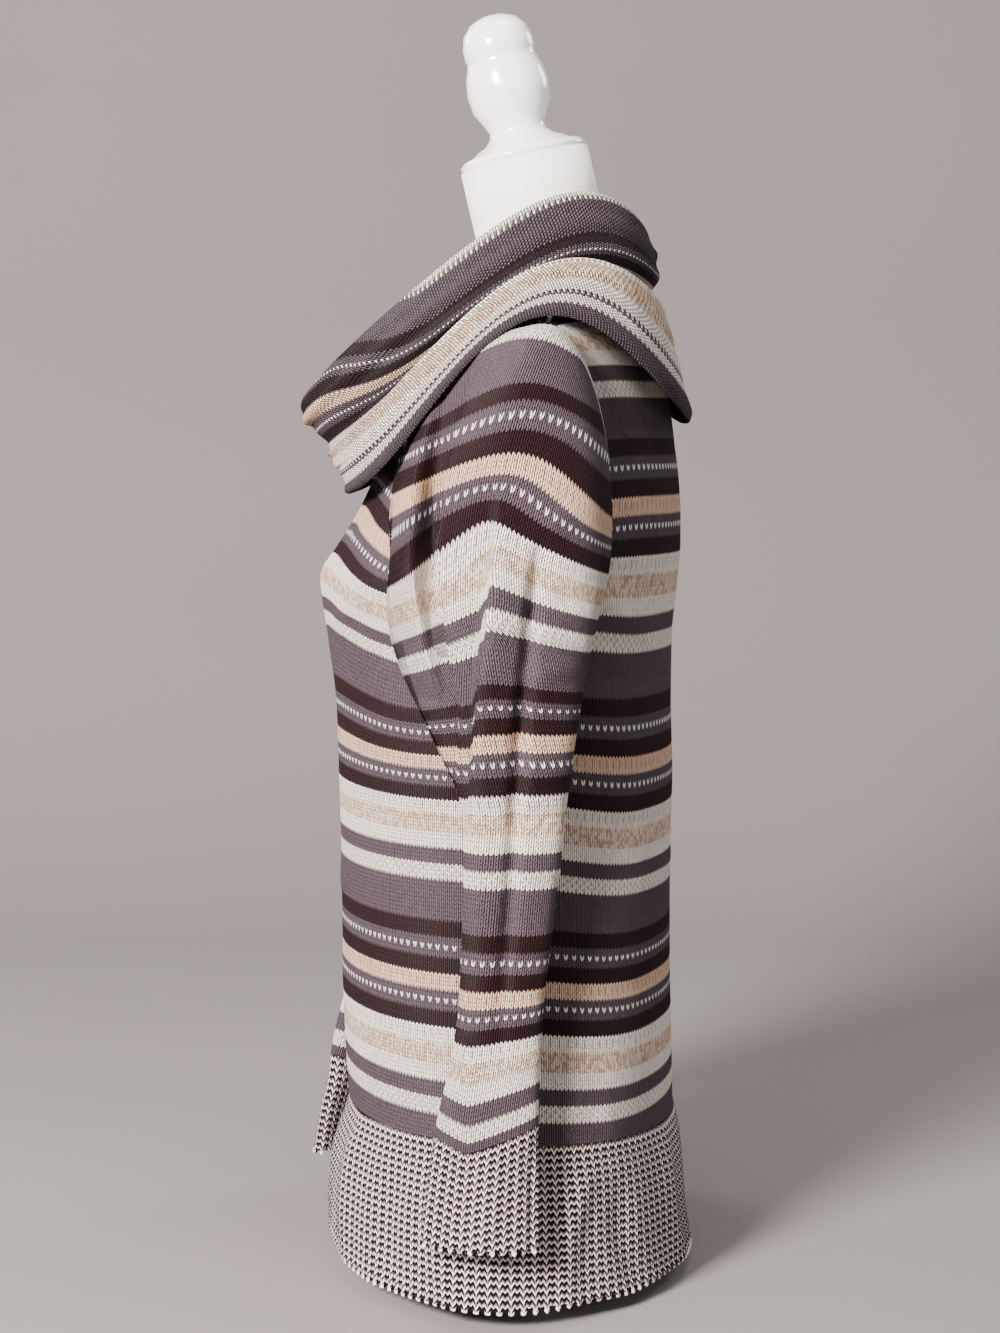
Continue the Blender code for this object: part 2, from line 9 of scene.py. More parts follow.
import bpy
import numpy as np
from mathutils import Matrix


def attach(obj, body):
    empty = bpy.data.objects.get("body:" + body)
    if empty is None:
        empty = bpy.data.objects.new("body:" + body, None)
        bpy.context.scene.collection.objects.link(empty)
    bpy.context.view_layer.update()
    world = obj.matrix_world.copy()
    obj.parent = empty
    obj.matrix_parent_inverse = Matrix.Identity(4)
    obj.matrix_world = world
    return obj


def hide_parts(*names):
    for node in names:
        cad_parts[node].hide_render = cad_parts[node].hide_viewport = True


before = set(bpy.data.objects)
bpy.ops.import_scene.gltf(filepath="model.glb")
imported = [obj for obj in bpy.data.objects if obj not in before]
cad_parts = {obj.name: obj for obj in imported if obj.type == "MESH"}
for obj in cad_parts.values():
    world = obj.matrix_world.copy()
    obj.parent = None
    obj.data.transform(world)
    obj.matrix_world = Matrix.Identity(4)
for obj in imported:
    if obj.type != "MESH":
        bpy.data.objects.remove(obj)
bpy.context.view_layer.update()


# --- Curves through tables ---

def fair(xs, ys, x):
    """A smooth curve through the points, without overshoot."""
    xs, ys, x = np.asarray(xs, float), np.asarray(ys, float), np.asarray(x, float)
    step = np.diff(xs)
    rise = np.diff(ys) / step
    before, after = rise[:-1], rise[1:]
    slope = np.zeros(len(xs))
    same_way = after * before > 0
    slope[1:-1][same_way] = 2 * (after * before)[same_way] / (after + before)[same_way]
    slope[0], slope[-1] = rise[0], rise[-1]
    k = np.clip(np.searchsorted(xs, x) - 1, 0, len(step) - 1)
    h = step[k]
    t = np.clip((x - xs[k]) / h, 0, 1)
    first = (1 + 2 * t) * (1 - t) ** 2 * ys[k] + t * (1 - t) ** 2 * h * slope[k]
    last = t ** 2 * (3 - 2 * t) * ys[k + 1] + t ** 2 * (t - 1) * h * slope[k + 1]
    return first + last


class Table:
    """Named columns. A column is read off as a smooth curve against the first one."""

    def __init__(self, names, *rows):
        self.names = names.split(", ")
        self.columns = np.array(rows, float).T

    def __call__(self, name, at):
        return fair(self.columns[0], self.columns[self.names.index(name)], at)


def step_up(x, low, high):
    """0 below low, 1 above high, and smooth between."""
    t = np.clip((np.asarray(x, float) - low) / (high - low), 0, 1)
    return t * t * (3 - 2 * t)


def bend(start, towards, end, t):
    """A curve from start to end that is drawn towards a point beside it."""
    return (1 - t) ** 2 * start + 2 * t * (1 - t) * towards + t ** 2 * end


def unit(vectors):
    """The vectors, each made 1 long."""
    return vectors / np.maximum(np.linalg.norm(vectors, axis=-1, keepdims=True), 1e-12)


# --- Driving dimensions ---

MM = 0.001
WALL = 0.0024  # thickness of the knit
CENTRE_Y = 0.0047  # moves every piece back, so that the whole is over the origin
SEAM = 0.0005  # gap between two sewn pieces
Y_SIDE = 0.004  # where the side seams run
Z_HEM = 0.012  # above the surface that the form stands on
Z_WAIST = 0.30  # where the body's wales are counted
Z_UNDERARM = 0.475
Z_CHEST = 0.600  # above this the panels turn in towards the shoulder and the neck
Z_SLEEVE_FREE = 0.430  # below this a sleeve hangs free of the armhole
Z_CUFF_SEAM = 0.136
Z_CUFF_END = 0.060
CUFF_GAP = SEAM * 0.9
SLOPE_STEP = 0.03  # over which the free sleeve's slope is taken
SHOULDER_POINT = (0.176, 0.028, 0.679)
NECK_POINT = (0.088, 0.040, 0.712)  # where the shoulder seam meets the neckline
NECK_FRONT = (-0.070, 0.628)  # y and z of the neckline at centre front
NECK_BACK = (0.094, 0.700)
BAND_SEAM = (0.1205, 0.1235, 0.1115)  # the hem band's seam: z in front, at the side, behind
BODY_RADIUS = 0.17  # rough, for a seam's gap as an angle
HEM_RADIUS = 0.19
SHOULDER_BEND = np.array([0.40, 0.30, 0.92])  # how the cloth leaves the chest for the shoulder

# The sweater's body at each height: half its width, and where its front and its back lie.
BODY = Table(
    "z, half_width, front, back",
    (0.012, 0.201, -0.127, 0.1405), (0.04, 0.196, -0.1265, 0.137), (0.07, 0.191, -0.1245, 0.135),
    (0.095, 0.187, -0.1205, 0.132), (0.118, 0.184, -0.1155, 0.1272), (0.14, 0.182, -0.117, 0.1268),
    (0.2, 0.177, -0.1195, 0.125), (0.3, 0.169, -0.1205, 0.1245), (0.36, 0.168, -0.122, 0.126),
    (0.41, 0.169, -0.1235, 0.1245), (0.46, 0.172, -0.1295, 0.125), (0.505, 0.175, -0.135, 0.129),
    (0.53, 0.176, -0.121, 0.131), (0.55, 0.176, -0.1085, 0.131), (0.57, 0.175, -0.0985, 0.13),
    (0.6, 0.174, -0.087, 0.1265), (0.64, 0.172, -0.068, 0.116), (0.68, 0.168, -0.045, 0.1),
)

# The armhole's edge on each panel, as y at each height.
ARMHOLE = Table(
    "z, front, back",
    (0.475, 0.004, 0.004), (0.479, -0.024, 0.03), (0.49, -0.05, 0.053), (0.51, -0.068, 0.065),
    (0.545, -0.0765, 0.07), (0.57, -0.0745, 0.071), (0.6, -0.068, 0.069),
)

# The free part of a sleeve: y of its front edge, of the main fold's ridge and of its back edge,
# its gap to the body and how thick it hangs. Before the ridge it is lower by the recess.
SLEEVE = Table(
    "z, front, ridge, back, gap, thick, recess",
    (0.03, -0.056, -0.045, 0.03, 0.006, 0.025, 0), (0.06, -0.0545, -0.044, 0.029, 0.006, 0.025, 0),
    (0.136, -0.0495, -0.04, 0.028, 0.006, 0.028, 0.001),
    (0.2, -0.039, -0.031, 0.031, 0.006, 0.032, 0.002),
    (0.3, -0.033, -0.025, 0.041, 0.006, 0.037, 0.004),
    (0.352, -0.032, -0.0245, 0.0475, 0.006, 0.039, 0.008),
    (0.39, -0.043, -0.0225, 0.051, 0.006, 0.042, 0.015),
    (0.43, -0.056, -0.02, 0.054, 0.006, 0.045, 0.018),
)

# The left sleeve hangs narrower: how far its edges are drawn in.
LEFT_DRAWN_IN = Table(
    "z, front, back",
    (0.03, 0.0095, 0.009), (0.068, 0.01, 0.009), (0.136, 0.0145, 0.0085), (0.2, 0.0145, 0.0105),
    (0.3, 0.0135, 0.013), (0.385, 0.0125, 0.016), (0.43, 0.0105, 0.015),
)

# How the sleeve leaves its seam, as a step along each axis: from the shoulder down the front to
# the underarm and up the back.
SLEEVE_LEAVES = Table(
    "turn, x, y, z",
    (0, 0.034, -0.004, -0.006), (0.12, 0.036, 0.007, -0.016), (0.25, 0.026, 0.006, -0.045),
    (0.38, 0.014, 0.004, -0.03), (0.5, 0.009, 0, -0.01), (0.62, 0.012, 0.004, -0.03),
    (0.75, 0.024, 0.004, -0.045), (0.88, 0.034, 0.004, -0.02), (1, 0.034, -0.004, -0.006),
)
# The right sleeve's end: swung forward round the hip, in radians, further off the body and lower.
RIGHT_SWING = 0.68
RIGHT_STANDS_OFF = 0.012
RIGHT_DROP = 0.016

# Height and y of the ridge of a sleeve's main fold.
RIDGE = (
    (0.06, -0.020), (0.14, -0.021), (0.36, -0.0248), (0.433, -0.020), (0.4665, -0.016),
    (0.526, -0.0095), (0.5625, -0.0068),
)

# The cowl's sections, from the neckline up the inside, over the fold and down the outside to its
# free edge: y and z at centre front and back, half the width, z at the side and the quarters.
COWL = Table(
    "section, front, back, half_width, z_front, z_quarter_front, z_side, z_quarter_back, z_back",
    (0, -0.0655, 0.0855, 0.0812, 0.6345, 0.672, 0.72, 0.726, 0.712),
    (1, -0.09, 0.086, 0.081, 0.635, 0.669, 0.73, 0.745, 0.731),
    (2, -0.115, 0.088, 0.082, 0.632, 0.668, 0.737, 0.766, 0.748),
    (3, -0.139, 0.096, 0.088, 0.633, 0.669, 0.741, 0.777, 0.759),
    (4, -0.1475, 0.101, 0.093, 0.635, 0.67, 0.742, 0.78, 0.762),
    (5, -0.149, 0.106, 0.1, 0.629, 0.664, 0.734, 0.774, 0.756),
    (6, -0.143, 0.111, 0.107, 0.618, 0.65, 0.718, 0.756, 0.738),
    (7, -0.137, 0.115, 0.111, 0.61, 0.639, 0.707, 0.74, 0.724),
    (8, -0.129, 0.109, 0.105, 0.603, 0.63, 0.699, 0.727, 0.713),
    (9, -0.127, 0.112, 0.113, 0.597, 0.625, 0.704, 0.726, 0.706),
    (10, -0.125, 0.121, 0.133, 0.59, 0.62, 0.705, 0.718, 0.688),
    (11, -0.12, 0.129, 0.151, 0.581, 0.611, 0.699, 0.696, 0.658),
    (12, -0.115, 0.1345, 0.163, 0.572, 0.603, 0.692, 0.67, 0.632),
    (13, -0.111, 0.1345, 0.1665, 0.567, 0.598, 0.689, 0.656, 0.618),
)
LAST_SECTION = 13

# The dress form: how far its face lies inside the sweater's outer face at each height. It carries
# the sweater at the shoulders. Its neck leans forward.
FORM_INSET = Table(
    "z, inset",
    (0, 0.046), (0.06, 0.032), (0.12, 0.021), (0.3, 0.021), (0.4, 0.015), (0.5, 0.0043),
    (0.57, 0.0045), (0.6, 0.0045),
)
SHOULDER_INSET = 0.0036
NECKLINE_INSET = 0.0080
NECKLINE_DROP = 0.0120
NECKLINE_LEVEL = 2.0  # the form reaches the neckline, but not the shoulder seams
NECK_SHARE = 0.46  # of a panel's top, the rest being shoulder seams
THROAT_HALF_WIDTH = 0.060
THROAT_SPREAD = np.radians(78)  # how far round the throat the neckline's columns reach
THROAT_Y = (-0.040, 0.080)
THROAT_Z = (0.652, 0.694, 0.704)  # in front, at the side, behind
NECK_LEAN = np.radians(13.0)
NECK_TOP = (0.0157, 0.8090)  # y and z of the middle of the neck's top
NECK_RADIUS = 0.0475
NECK_LENGTH = 0.050
FORM_COLUMNS = 60  # behind each panel

# The turned finial, from its flange up its own leaning axis: height and radius.
FINIAL = (
    (0, 0.0465), (0.004, 0.047), (0.0065, 0.044), (0.0085, 0.037), (0.011, 0.034), (0.014, 0.027),
    (0.0185, 0.022), (0.0235, 0.0205), (0.03, 0.0235), (0.04, 0.029), (0.052, 0.0306),
    (0.064, 0.029), (0.072, 0.0262), (0.0755, 0.0252), (0.078, 0.0262), (0.086, 0.0264),
    (0.095, 0.0238), (0.102, 0.018), (0.106, 0.009), (0.107, 0),
)
FINIAL_GAP = 0.0003
FINIAL_STEPS = 28


# --- The body's surface ---

def body_depths(z):
    """Half the body's width, and how far its front and its back lie from the side seams."""
    return BODY("half_width", z), Y_SIDE - BODY("front", z), BODY("back", z) - Y_SIDE


def body_point(angle, z, smooth=False):
    """A point of the body: angle 0 is centre front, a quarter turn the left side seam."""
    half_width, front, back = body_depths(z)
    depth = np.where(np.cos(angle) >= 0, front, back)
    ripple = 0 if smooth else hem_ripple(angle, z)
    x = (half_width + ripple) * np.sin(angle)
    y = Y_SIDE - (depth + ripple) * np.cos(angle)
    return np.stack([x, y, z + 0 * angle], -1)


def hem_ripple(angle, z):
    """The hem band hangs in soft, uneven waves, which die out at its seam."""
    grows = 1 - step_up(z, 0.03, 0.125)
    waves = 0.0022 * np.sin(5 * angle + 0.6) + 0.0016 * np.sin(8 * angle + 2.1)
    return grows * waves


def three_heights(angle, front, side, back):
    """A height that runs smoothly from its value in front over the side's to the one behind."""
    c = np.cos(angle)
    return side + (front - back) / 2 * c + ((front + back) / 2 - side) * c ** 2


def armhole_angle(z, face):
    """The angle where a panel ends: at the side seam, or above the underarm at the armhole."""
    y = ARMHOLE(face, np.maximum(z, Z_UNDERARM))
    from_front = np.arccos(np.clip((y - Y_SIDE) / (BODY(face, z) - Y_SIDE), 0, 1))
    return np.where(z <= Z_UNDERARM, np.pi / 2, from_front)


def panel_top(across, face):
    """The top of a panel: neckline, then shoulder seams at the sides. across is -1 to 1."""
    u = np.abs(across)
    y_middle, z_middle = NECK_FRONT if face == "front" else NECK_BACK
    shoulder = np.clip((u - NECK_SHARE) / (1 - NECK_SHARE), 0, 1)[..., None]
    half_seam = np.array([0, (-SEAM if face == "front" else SEAM) * 3, 0])
    corner = np.array(SHOULDER_POINT) - np.array([2 * SEAM, 0, 2 * SEAM])
    on_shoulder = np.array(NECK_POINT) * (1 - shoulder) + corner * shoulder + half_seam
    turn = np.clip(u / NECK_SHARE, 0, 1) * np.pi / 2
    x = NECK_POINT[0] * np.sin(turn)
    y = NECK_POINT[1] + (y_middle - NECK_POINT[1]) * np.cos(turn) + half_seam[1]
    z = NECK_POINT[2] + (z_middle - NECK_POINT[2]) * np.cos(turn) ** 1.6
    point = np.where(u[..., None] > NECK_SHARE, on_shoulder, np.stack([x, y, z], -1))
    point[..., 0] *= np.sign(across)
    return point


def panel_point(across, up, face, smooth=False):
    """A point of the front or the back. up is 0 to 1 to the chest, then 1 to 2 to the top."""
    turn = across * np.pi / 2
    seam = three_heights(turn if face == "front" else np.pi - turn, *BAND_SEAM) + SEAM / 2
    z = seam + (Z_CHEST - seam) * np.minimum(up, 1)
    reach = armhole_angle(z, face) - SEAM / 2 / BODY_RADIUS
    angle = across * reach if face == "front" else np.pi - across * reach
    chest = body_point(angle, z, smooth)
    top = panel_top(across, face)
    t = np.clip(up - 1, 0, 1)[..., None]
    return bend(chest, chest + (top - chest) * SHOULDER_BEND, top, t)


# --- The sleeves ---

def side_frame(y, z, swing):
    """A point of the body's side at y, swung forward round the body, and the way out there."""
    half_width, front, back = body_depths(z)
    depth = np.where(y < Y_SIDE, front, back)
    turn = np.arcsin(np.clip((Y_SIDE - y) / depth, -1, 1)) + swing
    depth = np.where(turn > 0, front, back)
    point = np.stack([half_width * np.cos(turn), Y_SIDE - depth * np.sin(turn), z + 0 * y], -1)
    return point, unit(np.stack([np.cos(turn) / half_width, -np.sin(turn) / depth, 0 * y], -1))


def before_ridge(y, ridge):
    """1 in front of the main fold's ridge and 0 behind it, in one sharp step."""
    return 1 - step_up(y, ridge - 0.0005, ridge + 0.0035)


def sleeve_section(turn, z, hand):
    """A point of the free sleeve. turn 0 faces out, a quarter faces front, a half the body."""
    angle = 2 * np.pi * turn
    front, ridge, back, gap, thick, recess = (SLEEVE(name, z) for name in SLEEVE.names[1:])
    if hand == "left":
        front = front + LEFT_DRAWN_IN("front", z)
        back = back - LEFT_DRAWN_IN("back", z)
    swings = (1 - step_up(z, 0.05, 0.50)) if hand == "right" else 0 * z
    centre, half = (front + back) / 2, (back - front) / 2
    y = centre - half * np.sign(np.sin(angle)) * np.abs(np.sin(angle)) ** 0.85
    out = np.sign(np.cos(angle)) * np.abs(np.cos(angle)) ** 0.80
    offset = gap + WALL + thick * (0.5 + 0.5 * out)
    offset = offset - recess * before_ridge(y, ridge) * np.clip(out, 0, 1) ** 0.5
    offset = offset + RIGHT_STANDS_OFF * swings ** 2
    point, way_out = side_frame(y, z, RIGHT_SWING * swings)
    return point + way_out * offset[..., None]


def armhole_loop(turn):
    """The seam of the sleeve round the armhole, just outside the panels' edges."""
    turn = turn % 1.0
    front_side = turn <= 0.5
    along = np.where(front_side, turn, 1 - turn) / 0.5
    stops = (0.30, 0.45, 0.62, 0.80, 0.92, 1.0)
    height = np.interp(along, stops, (0.600, 0.560, 0.520, 0.490, 0.479, 0.475))
    y = np.where(front_side, ARMHOLE("front", height), ARMHOLE("back", height))
    low_part, way_out = side_frame(y, height, 0.0)
    t = np.clip(1 - along / stops[0], 0, 1)[..., None]
    top = np.array(SHOULDER_POINT)
    edge = bend(low_part, low_part + (top - low_part) * SHOULDER_BEND, top, t)
    lift = unit(np.concatenate([way_out[..., :2], t], -1))
    return edge + lift * (WALL + 2 * SEAM + 0.0018 * t)


def sleeve_point(turn, down, hand):
    """A point of the sleeve. down is 0 at the armhole, 1 where it hangs free and 2 at the cuff's
    seam, or past 2 where that dips."""
    start = armhole_loop(turn)
    leaves = np.stack([SLEEVE_LEAVES(name, turn % 1.0) for name in "xyz"], -1)
    free = sleeve_section(turn, Z_SLEEVE_FREE, hand)
    above = sleeve_section(turn, Z_SLEEVE_FREE - SLOPE_STEP, hand)
    rise = (free - above) / SLOPE_STEP
    climb = (start[..., 2:] - Z_SLEEVE_FREE) * 0.55
    t = np.clip(down, 0, 1)[..., None]
    upper = (
        (1 - t) ** 3 * start
        + 3 * t * (1 - t) ** 2 * (start + leaves)
        + 3 * t ** 2 * (1 - t) * (free + rise * climb)
        + t ** 3 * free
    )
    upper[..., 0] -= upper_recess(upper, turn)
    z = Z_SLEEVE_FREE - (Z_SLEEVE_FREE - Z_CUFF_SEAM) * np.maximum(down - 1, 0)
    return hang(np.where((down > 1)[..., None], sleeve_section(turn, z, hand), upper), hand)


def upper_recess(point, turn):
    """In front of the main fold the upper sleeve sinks towards the body, from below its cap on."""
    y, z = point[..., 1], point[..., 2]
    ridge = RIDGE[-1][1] - 0.014 * (0.56 - z) / 0.13
    facing = np.clip(np.cos(2 * np.pi * turn), 0, 1) ** 0.5
    below = 1 - step_up(z, 0.50, 0.63)
    above = step_up(z, 0.405, 0.47)
    return 0.012 * before_ridge(y, ridge) * facing * below * above


def hang(point, hand):
    """The left sleeve as it is; the right one mirrored, its end a little lower."""
    if hand == "right":
        point = point * np.array([-1, 1, 1])
        point[..., 2] -= RIGHT_DROP * (1 - step_up(point[..., 2], 0.05, 0.45))
    return point


# --- The cowl ---

def cowl_point(turn, along):
    """A point of the cowl. turn 0 is centre front, a quarter the left; along counts sections."""
    front, back, half_width, *heights = (COWL(name, along) for name in COWL.names[1:])
    angle = 2 * np.pi * turn
    c = np.cos(angle)
    squarer = 1 - 0.30 * step_up(along, 6, 11)
    x = half_width * np.sign(np.sin(angle)) * np.abs(np.sin(angle)) ** squarer
    y = (front + back) / 2 - (back - front) / 2 * c
    return np.stack([x, y, quarter_heights(c, heights)], -1)


def quarter_heights(c, heights):
    """A height with a value each at the front, front quarter, side, back quarter and back."""
    places = np.cos(np.radians((0, 45, 90, 135, 180)))
    total = 0
    for i, height in enumerate(heights):
        share = 1
        for j, place in enumerate(places):
            if j != i:
                share = share * (c - place) / (places[i] - place)
        total = total + share * height
    return total


# --- The dress form ---

def stand(name, data, place, turn=(0, 0, 0)):
    """An object in the scene, at its place and turned."""
    made = bpy.data.objects.new(name, data)
    made.location = place
    made.rotation_euler = turn
    bpy.context.scene.collection.objects.link(made)
    return made


def placed(name, points, edges, faces, finish, at=(0, CENTRE_Y, 0), turn=(0, 0, 0)):
    """An object made of these points, shaded smooth."""
    mesh = bpy.data.meshes.new(name)
    mesh.from_pydata(points, edges, faces)
    mesh.materials.append(finish)
    mesh.shade_smooth()
    return stand(name, mesh, at, turn)


def grid_faces(rows, around, columns):
    """(the row and column of each face's corners in a grid, the faces as vertex numbers)."""
    r, c = (grid.ravel() for grid in np.mgrid[0 : rows - 1, 0:around])
    corners = [(r, c), (r + 1, c), (r + 1, c + 1), (r, c + 1)]
    return corners, np.stack([i * columns + j % columns for i, j in corners], -1)


def form_ring(across, up):
    """One level of the form's body, inside the sweater."""
    step = 1e-4
    rings = []
    for face, way in (("front", 1), ("back", -1)):
        u = across * way
        level = up + (NECKLINE_LEVEL - up) * (up > 1.5) * (1 - step_up(np.abs(u), 0.40, 0.62))
        point = panel_point(u, level, face, smooth=True)
        along = panel_point(u + step, level, face, smooth=True) - point
        rise = point - panel_point(u, level - step, face, smooth=True)
        out = unit(np.cross(along, rise) * way)
        near_neck = 1 - step_up(np.abs(u), 0.40, 0.75)
        at_top = SHOULDER_INSET + (NECKLINE_INSET - SHOULDER_INSET) * near_neck
        inset = FORM_INSET("inset", point[..., 2])
        inset = inset + (at_top - inset) * step_up(up, 1, 1.5)
        ring = point - out * inset[..., None]
        ring[..., 2] -= NECKLINE_DROP * near_neck * step_up(up, 1, 1.8)
        rings.append(ring)
    return np.concatenate(rings)


def fine_form(finish):
    """The form's body, throat and leaning neck, as rings, flat at both ends."""
    across = (np.arange(FORM_COLUMNS) + 0.5) * 2 / FORM_COLUMNS - 1
    levels = [-0.24, *np.linspace(-0.12, 0.6, 6), *np.linspace(0.7, 1, 5), 1.25, 1.5, 1.75]
    rings = [form_ring(across, level) for level in levels]
    rings[0][:, 2] = 0
    even = np.concatenate([across, 2 + across]) * np.pi / 2
    spread = np.interp(np.abs(across), (0, NECK_SHARE, 1), (0, THROAT_SPREAD, np.pi / 2))
    spread = np.sign(across) * spread
    angle = np.concatenate([spread, np.pi + spread])
    throat_y = sum(THROAT_Y) / 2 + (THROAT_Y[0] - THROAT_Y[1]) / 2 * np.cos(angle)
    throat_z = three_heights(angle, *THROAT_Z)
    rings.append(np.stack([THROAT_HALF_WIDTH * np.sin(angle), throat_y, throat_z], -1))
    for along, share in ((-NECK_LENGTH, 0.5), (-NECK_LENGTH * 0.6, 1), (0, 1)):
        angle = even * share + angle * (1 - share)
        ring_y = -NECK_RADIUS * np.cos(angle)
        y = NECK_TOP[0] + ring_y * np.cos(NECK_LEAN) - along * np.sin(NECK_LEAN)
        z = NECK_TOP[1] + ring_y * np.sin(NECK_LEAN) + along * np.cos(NECK_LEAN)
        rings.append(np.stack([NECK_RADIUS * np.sin(angle), y, z], -1))
    points = np.array(rings)
    rows, columns = points.shape[:2]
    faces = grid_faces(rows, columns, columns)[1][:, (0, 3, 2, 1)].tolist()
    top = (rows - 1) * columns
    faces += [list(range(columns))[::-1], list(range(top, top + columns))]
    return placed("fine_form", points.reshape(-1, 3).tolist(), [], faces, finish)


def finial(finish):
    """A turned profile, standing on the neck's sloping top."""
    profile = [(radius, 0, height) for height, radius in FINIAL[::-1]] + [(0, 0, 0)]
    edges = [(i, i + 1) for i in range(len(profile) - 1)]
    foot_y = CENTRE_Y + NECK_TOP[0] - FINIAL_GAP * np.sin(NECK_LEAN)
    foot = (0, foot_y, NECK_TOP[1] + FINIAL_GAP * np.cos(NECK_LEAN))
    made = placed("turned_finial", profile, edges, [], finish, foot, (NECK_LEAN, 0, 0))
    turned = made.modifiers.new("Turned", "SCREW")
    turned.steps = turned.render_steps = FINIAL_STEPS
    turned.use_merge_vertices = True
    turned.merge_threshold = 0.0001
    turned.use_smooth_shade = True
    return made


# --- The knit, counted in wales and rows ---

WALE = 0.0033  # width of one wale
ROW = 0.00296  # height of one row
REPEAT = 57  # rows in one repeat of the stripes
COWL_WALES = 208  # all round
COWL_ROW = 0.0021  # height of a row at the cowl's edge
LOOP_PAIR = 0.0074  # width of a long and a short loop of the mesh knit
LOOP_ROW = 0.0052  # height of a row of them
SCALLOP = 0.0012  # how far the loops at its edge stand out and in
EDGE_ROWS = 8  # the 7 rows that rolled() adds, and the one they start from

# One repeat of the stripes from the top down: rows, yarn and what they show.
STRIPES = (
    (10, "grey"), (4, "brown"), (2, "grey"), (1, "grey", "fleck"), (2, "grey"), (4, "brown"),
    (1, "peach"), (2, "peach", "slits"), (1, "peach"), (2, "grey"), (1, "grey", "fleck"),
    (2, "grey"), (4, "brown"), (1, "cream"), (2, "cream", "slits"), (1, "cream"),
    (5, "tan", "heather"), (4, "cream"), (4, "grey"), (4, "cream", "dots"),
)
REVERSE_STRIPES = (*STRIPES[:-3], (5, "cream"), (2, "grey"), (5, "cream"))

CHAIN_ROWS = (22.6, 35.6, 50.0, 56.2)  # where the reverse shows a dashed line of both yarns

YARN = {
    "grey": (0.098, 0.07, 0.084), "brown": (0.021, 0.006, 0.008), "peach": (0.8, 0.53, 0.37),
    "cream": (0.98, 0.87, 0.77), "tan": (0.66, 0.45, 0.31), "white": (0.95, 0.93, 0.93),
    "black": (0.006, 0.003, 0.004), "mauve": (0.22, 0.145, 0.15), "loop": (0.98, 0.88, 0.83),
}

# The row at each height: in front, behind, and on the sleeve's ridge.
FRONT_ROWS = Table(
    "z, row",
    (0.1205, 121), (0.142, 114), (0.304, 57), (0.4363, 10), (0.4728, 0), (0.483, -4), (0.503, -12),
    (0.524, -21), (0.533, -25), (0.6, -47),
)
BACK_ROWS = Table(
    "z, row",
    (0.1115, 121), (0.132, 114), (0.179, 97), (0.2265, 80), (0.2877, 57), (0.334, 40), (0.385, 23),
    (0.4582, 0), (0.526, -21), (0.6085, -47),
)
SLEEVE_ROWS = Table(
    "z, row",
    (0.136, 118), (0.144, 114), (0.181, 102), (0.227, 84), (0.276, 67), (0.307, 57), (0.358, 40),
    (0.424, 19), (0.4468, 10), (0.482, 0), (0.5117, -8), (0.5394, -17), (0.5677, -25),
    (0.5979, -34), (0.6137, -38), (0.6329, -43), (0.644, -47), (0.674, -57), (0.686, -61),
)

# The row at each of the cowl's sections. At the side and behind, the fold lies in the cream; in
# front it has slid down to the fleck.
COWL_ROWS = Table(
    "section, side, front",
    (0, -17, -22), (1, -12, -11), (2, -9, 1), (3, -5, 12), (4, -2.5, 16), (5, 0.2, 20),
    (6, 7.5, 25.5), (7, 15.5, 30), (8, 26, 35), (9, 37, 40), (10, 41, 45), (11, 46, 50),
    (12, 57, 57.5), (13, 64, 65),
)

# Creases, in millimetres: a, z_a, b, z_b, width and height of each soft ridge (height above 0) or
# trough. a and b are degrees from centre front (the left side is 90) on the body, the band and the
# cowl, y on a sleeve and turns on a cuff. On the cowl z and the width count sections.
BODY_CREASES = (
    (62, 505, 20, 462, 12, 2.2), (66, 470, 34, 430, 10, -1.6), (58, 540, 12, 520, 9, 1.8),
    (74, 420, 40, 395, 14, 1.4), (10, 335, 48, 352, 11, -1.2), (-14, 300, 30, 288, 10, 1.1),
    (5, 215, 52, 196, 13, 1.3), (70, 160, 78, 128, 12, 1.6), (-62, 500, -22, 470, 12, 2),
    (-68, 455, -38, 418, 11, -1.5), (-50, 330, -8, 318, 12, 1.2), (-66, 240, -30, 228, 10, -1.2),
    (118, 500, 150, 478, 11, 2.2), (112, 452, 158, 448, 9, -1.8), (120, 405, 172, 396, 12, 1.6),
    (116, 352, 150, 340, 9, -1.3), (128, 300, 178, 306, 13, 1.4), (118, 240, 160, 226, 11, -1.2),
    (134, 182, 176, 190, 12, 1.2), (122, 150, 130, 114, 10, 1.4), (242, 495, 206, 474, 12, 2),
    (246, 440, 204, 428, 10, -1.5), (238, 370, 196, 382, 12, 1.4), (240, 275, 200, 262, 11, 1.2),
    (232, 205, 192, 214, 12, -1.1),
)
SLEEVE_CREASES = (
    (-55, 575, -30, 520, 7, 1.6), (-60, 520, -28, 478, 6, -1.8), (-50, 458, -34, 430, 7, 0.9),
    (50, 560, 12, 520, 8, 1.6), (54, 500, 10, 482, 7, -1.8), (52, 455, 6, 440, 8, 2.4),
    (50, 418, 0, 404, 7, -2), (48, 384, -6, 372, 8, 2.4), (44, 352, -10, 345, 6, -1.6),
    (42, 318, 0, 308, 8, 1.6), (36, 268, -12, 262, 8, 1.4), (34, 226, 2, 234, 7, -1.2),
    (32, 190, -10, 182, 9, 1.3), (-34, 250, -20, 200, 6, -1.4),
)
INNER_CREASES = (
    (48, 420, -30, 398, 9, 1.4), (36, 330, -26, 318, 9, -1.2), (30, 240, -20, 250, 9, 1.2),
)
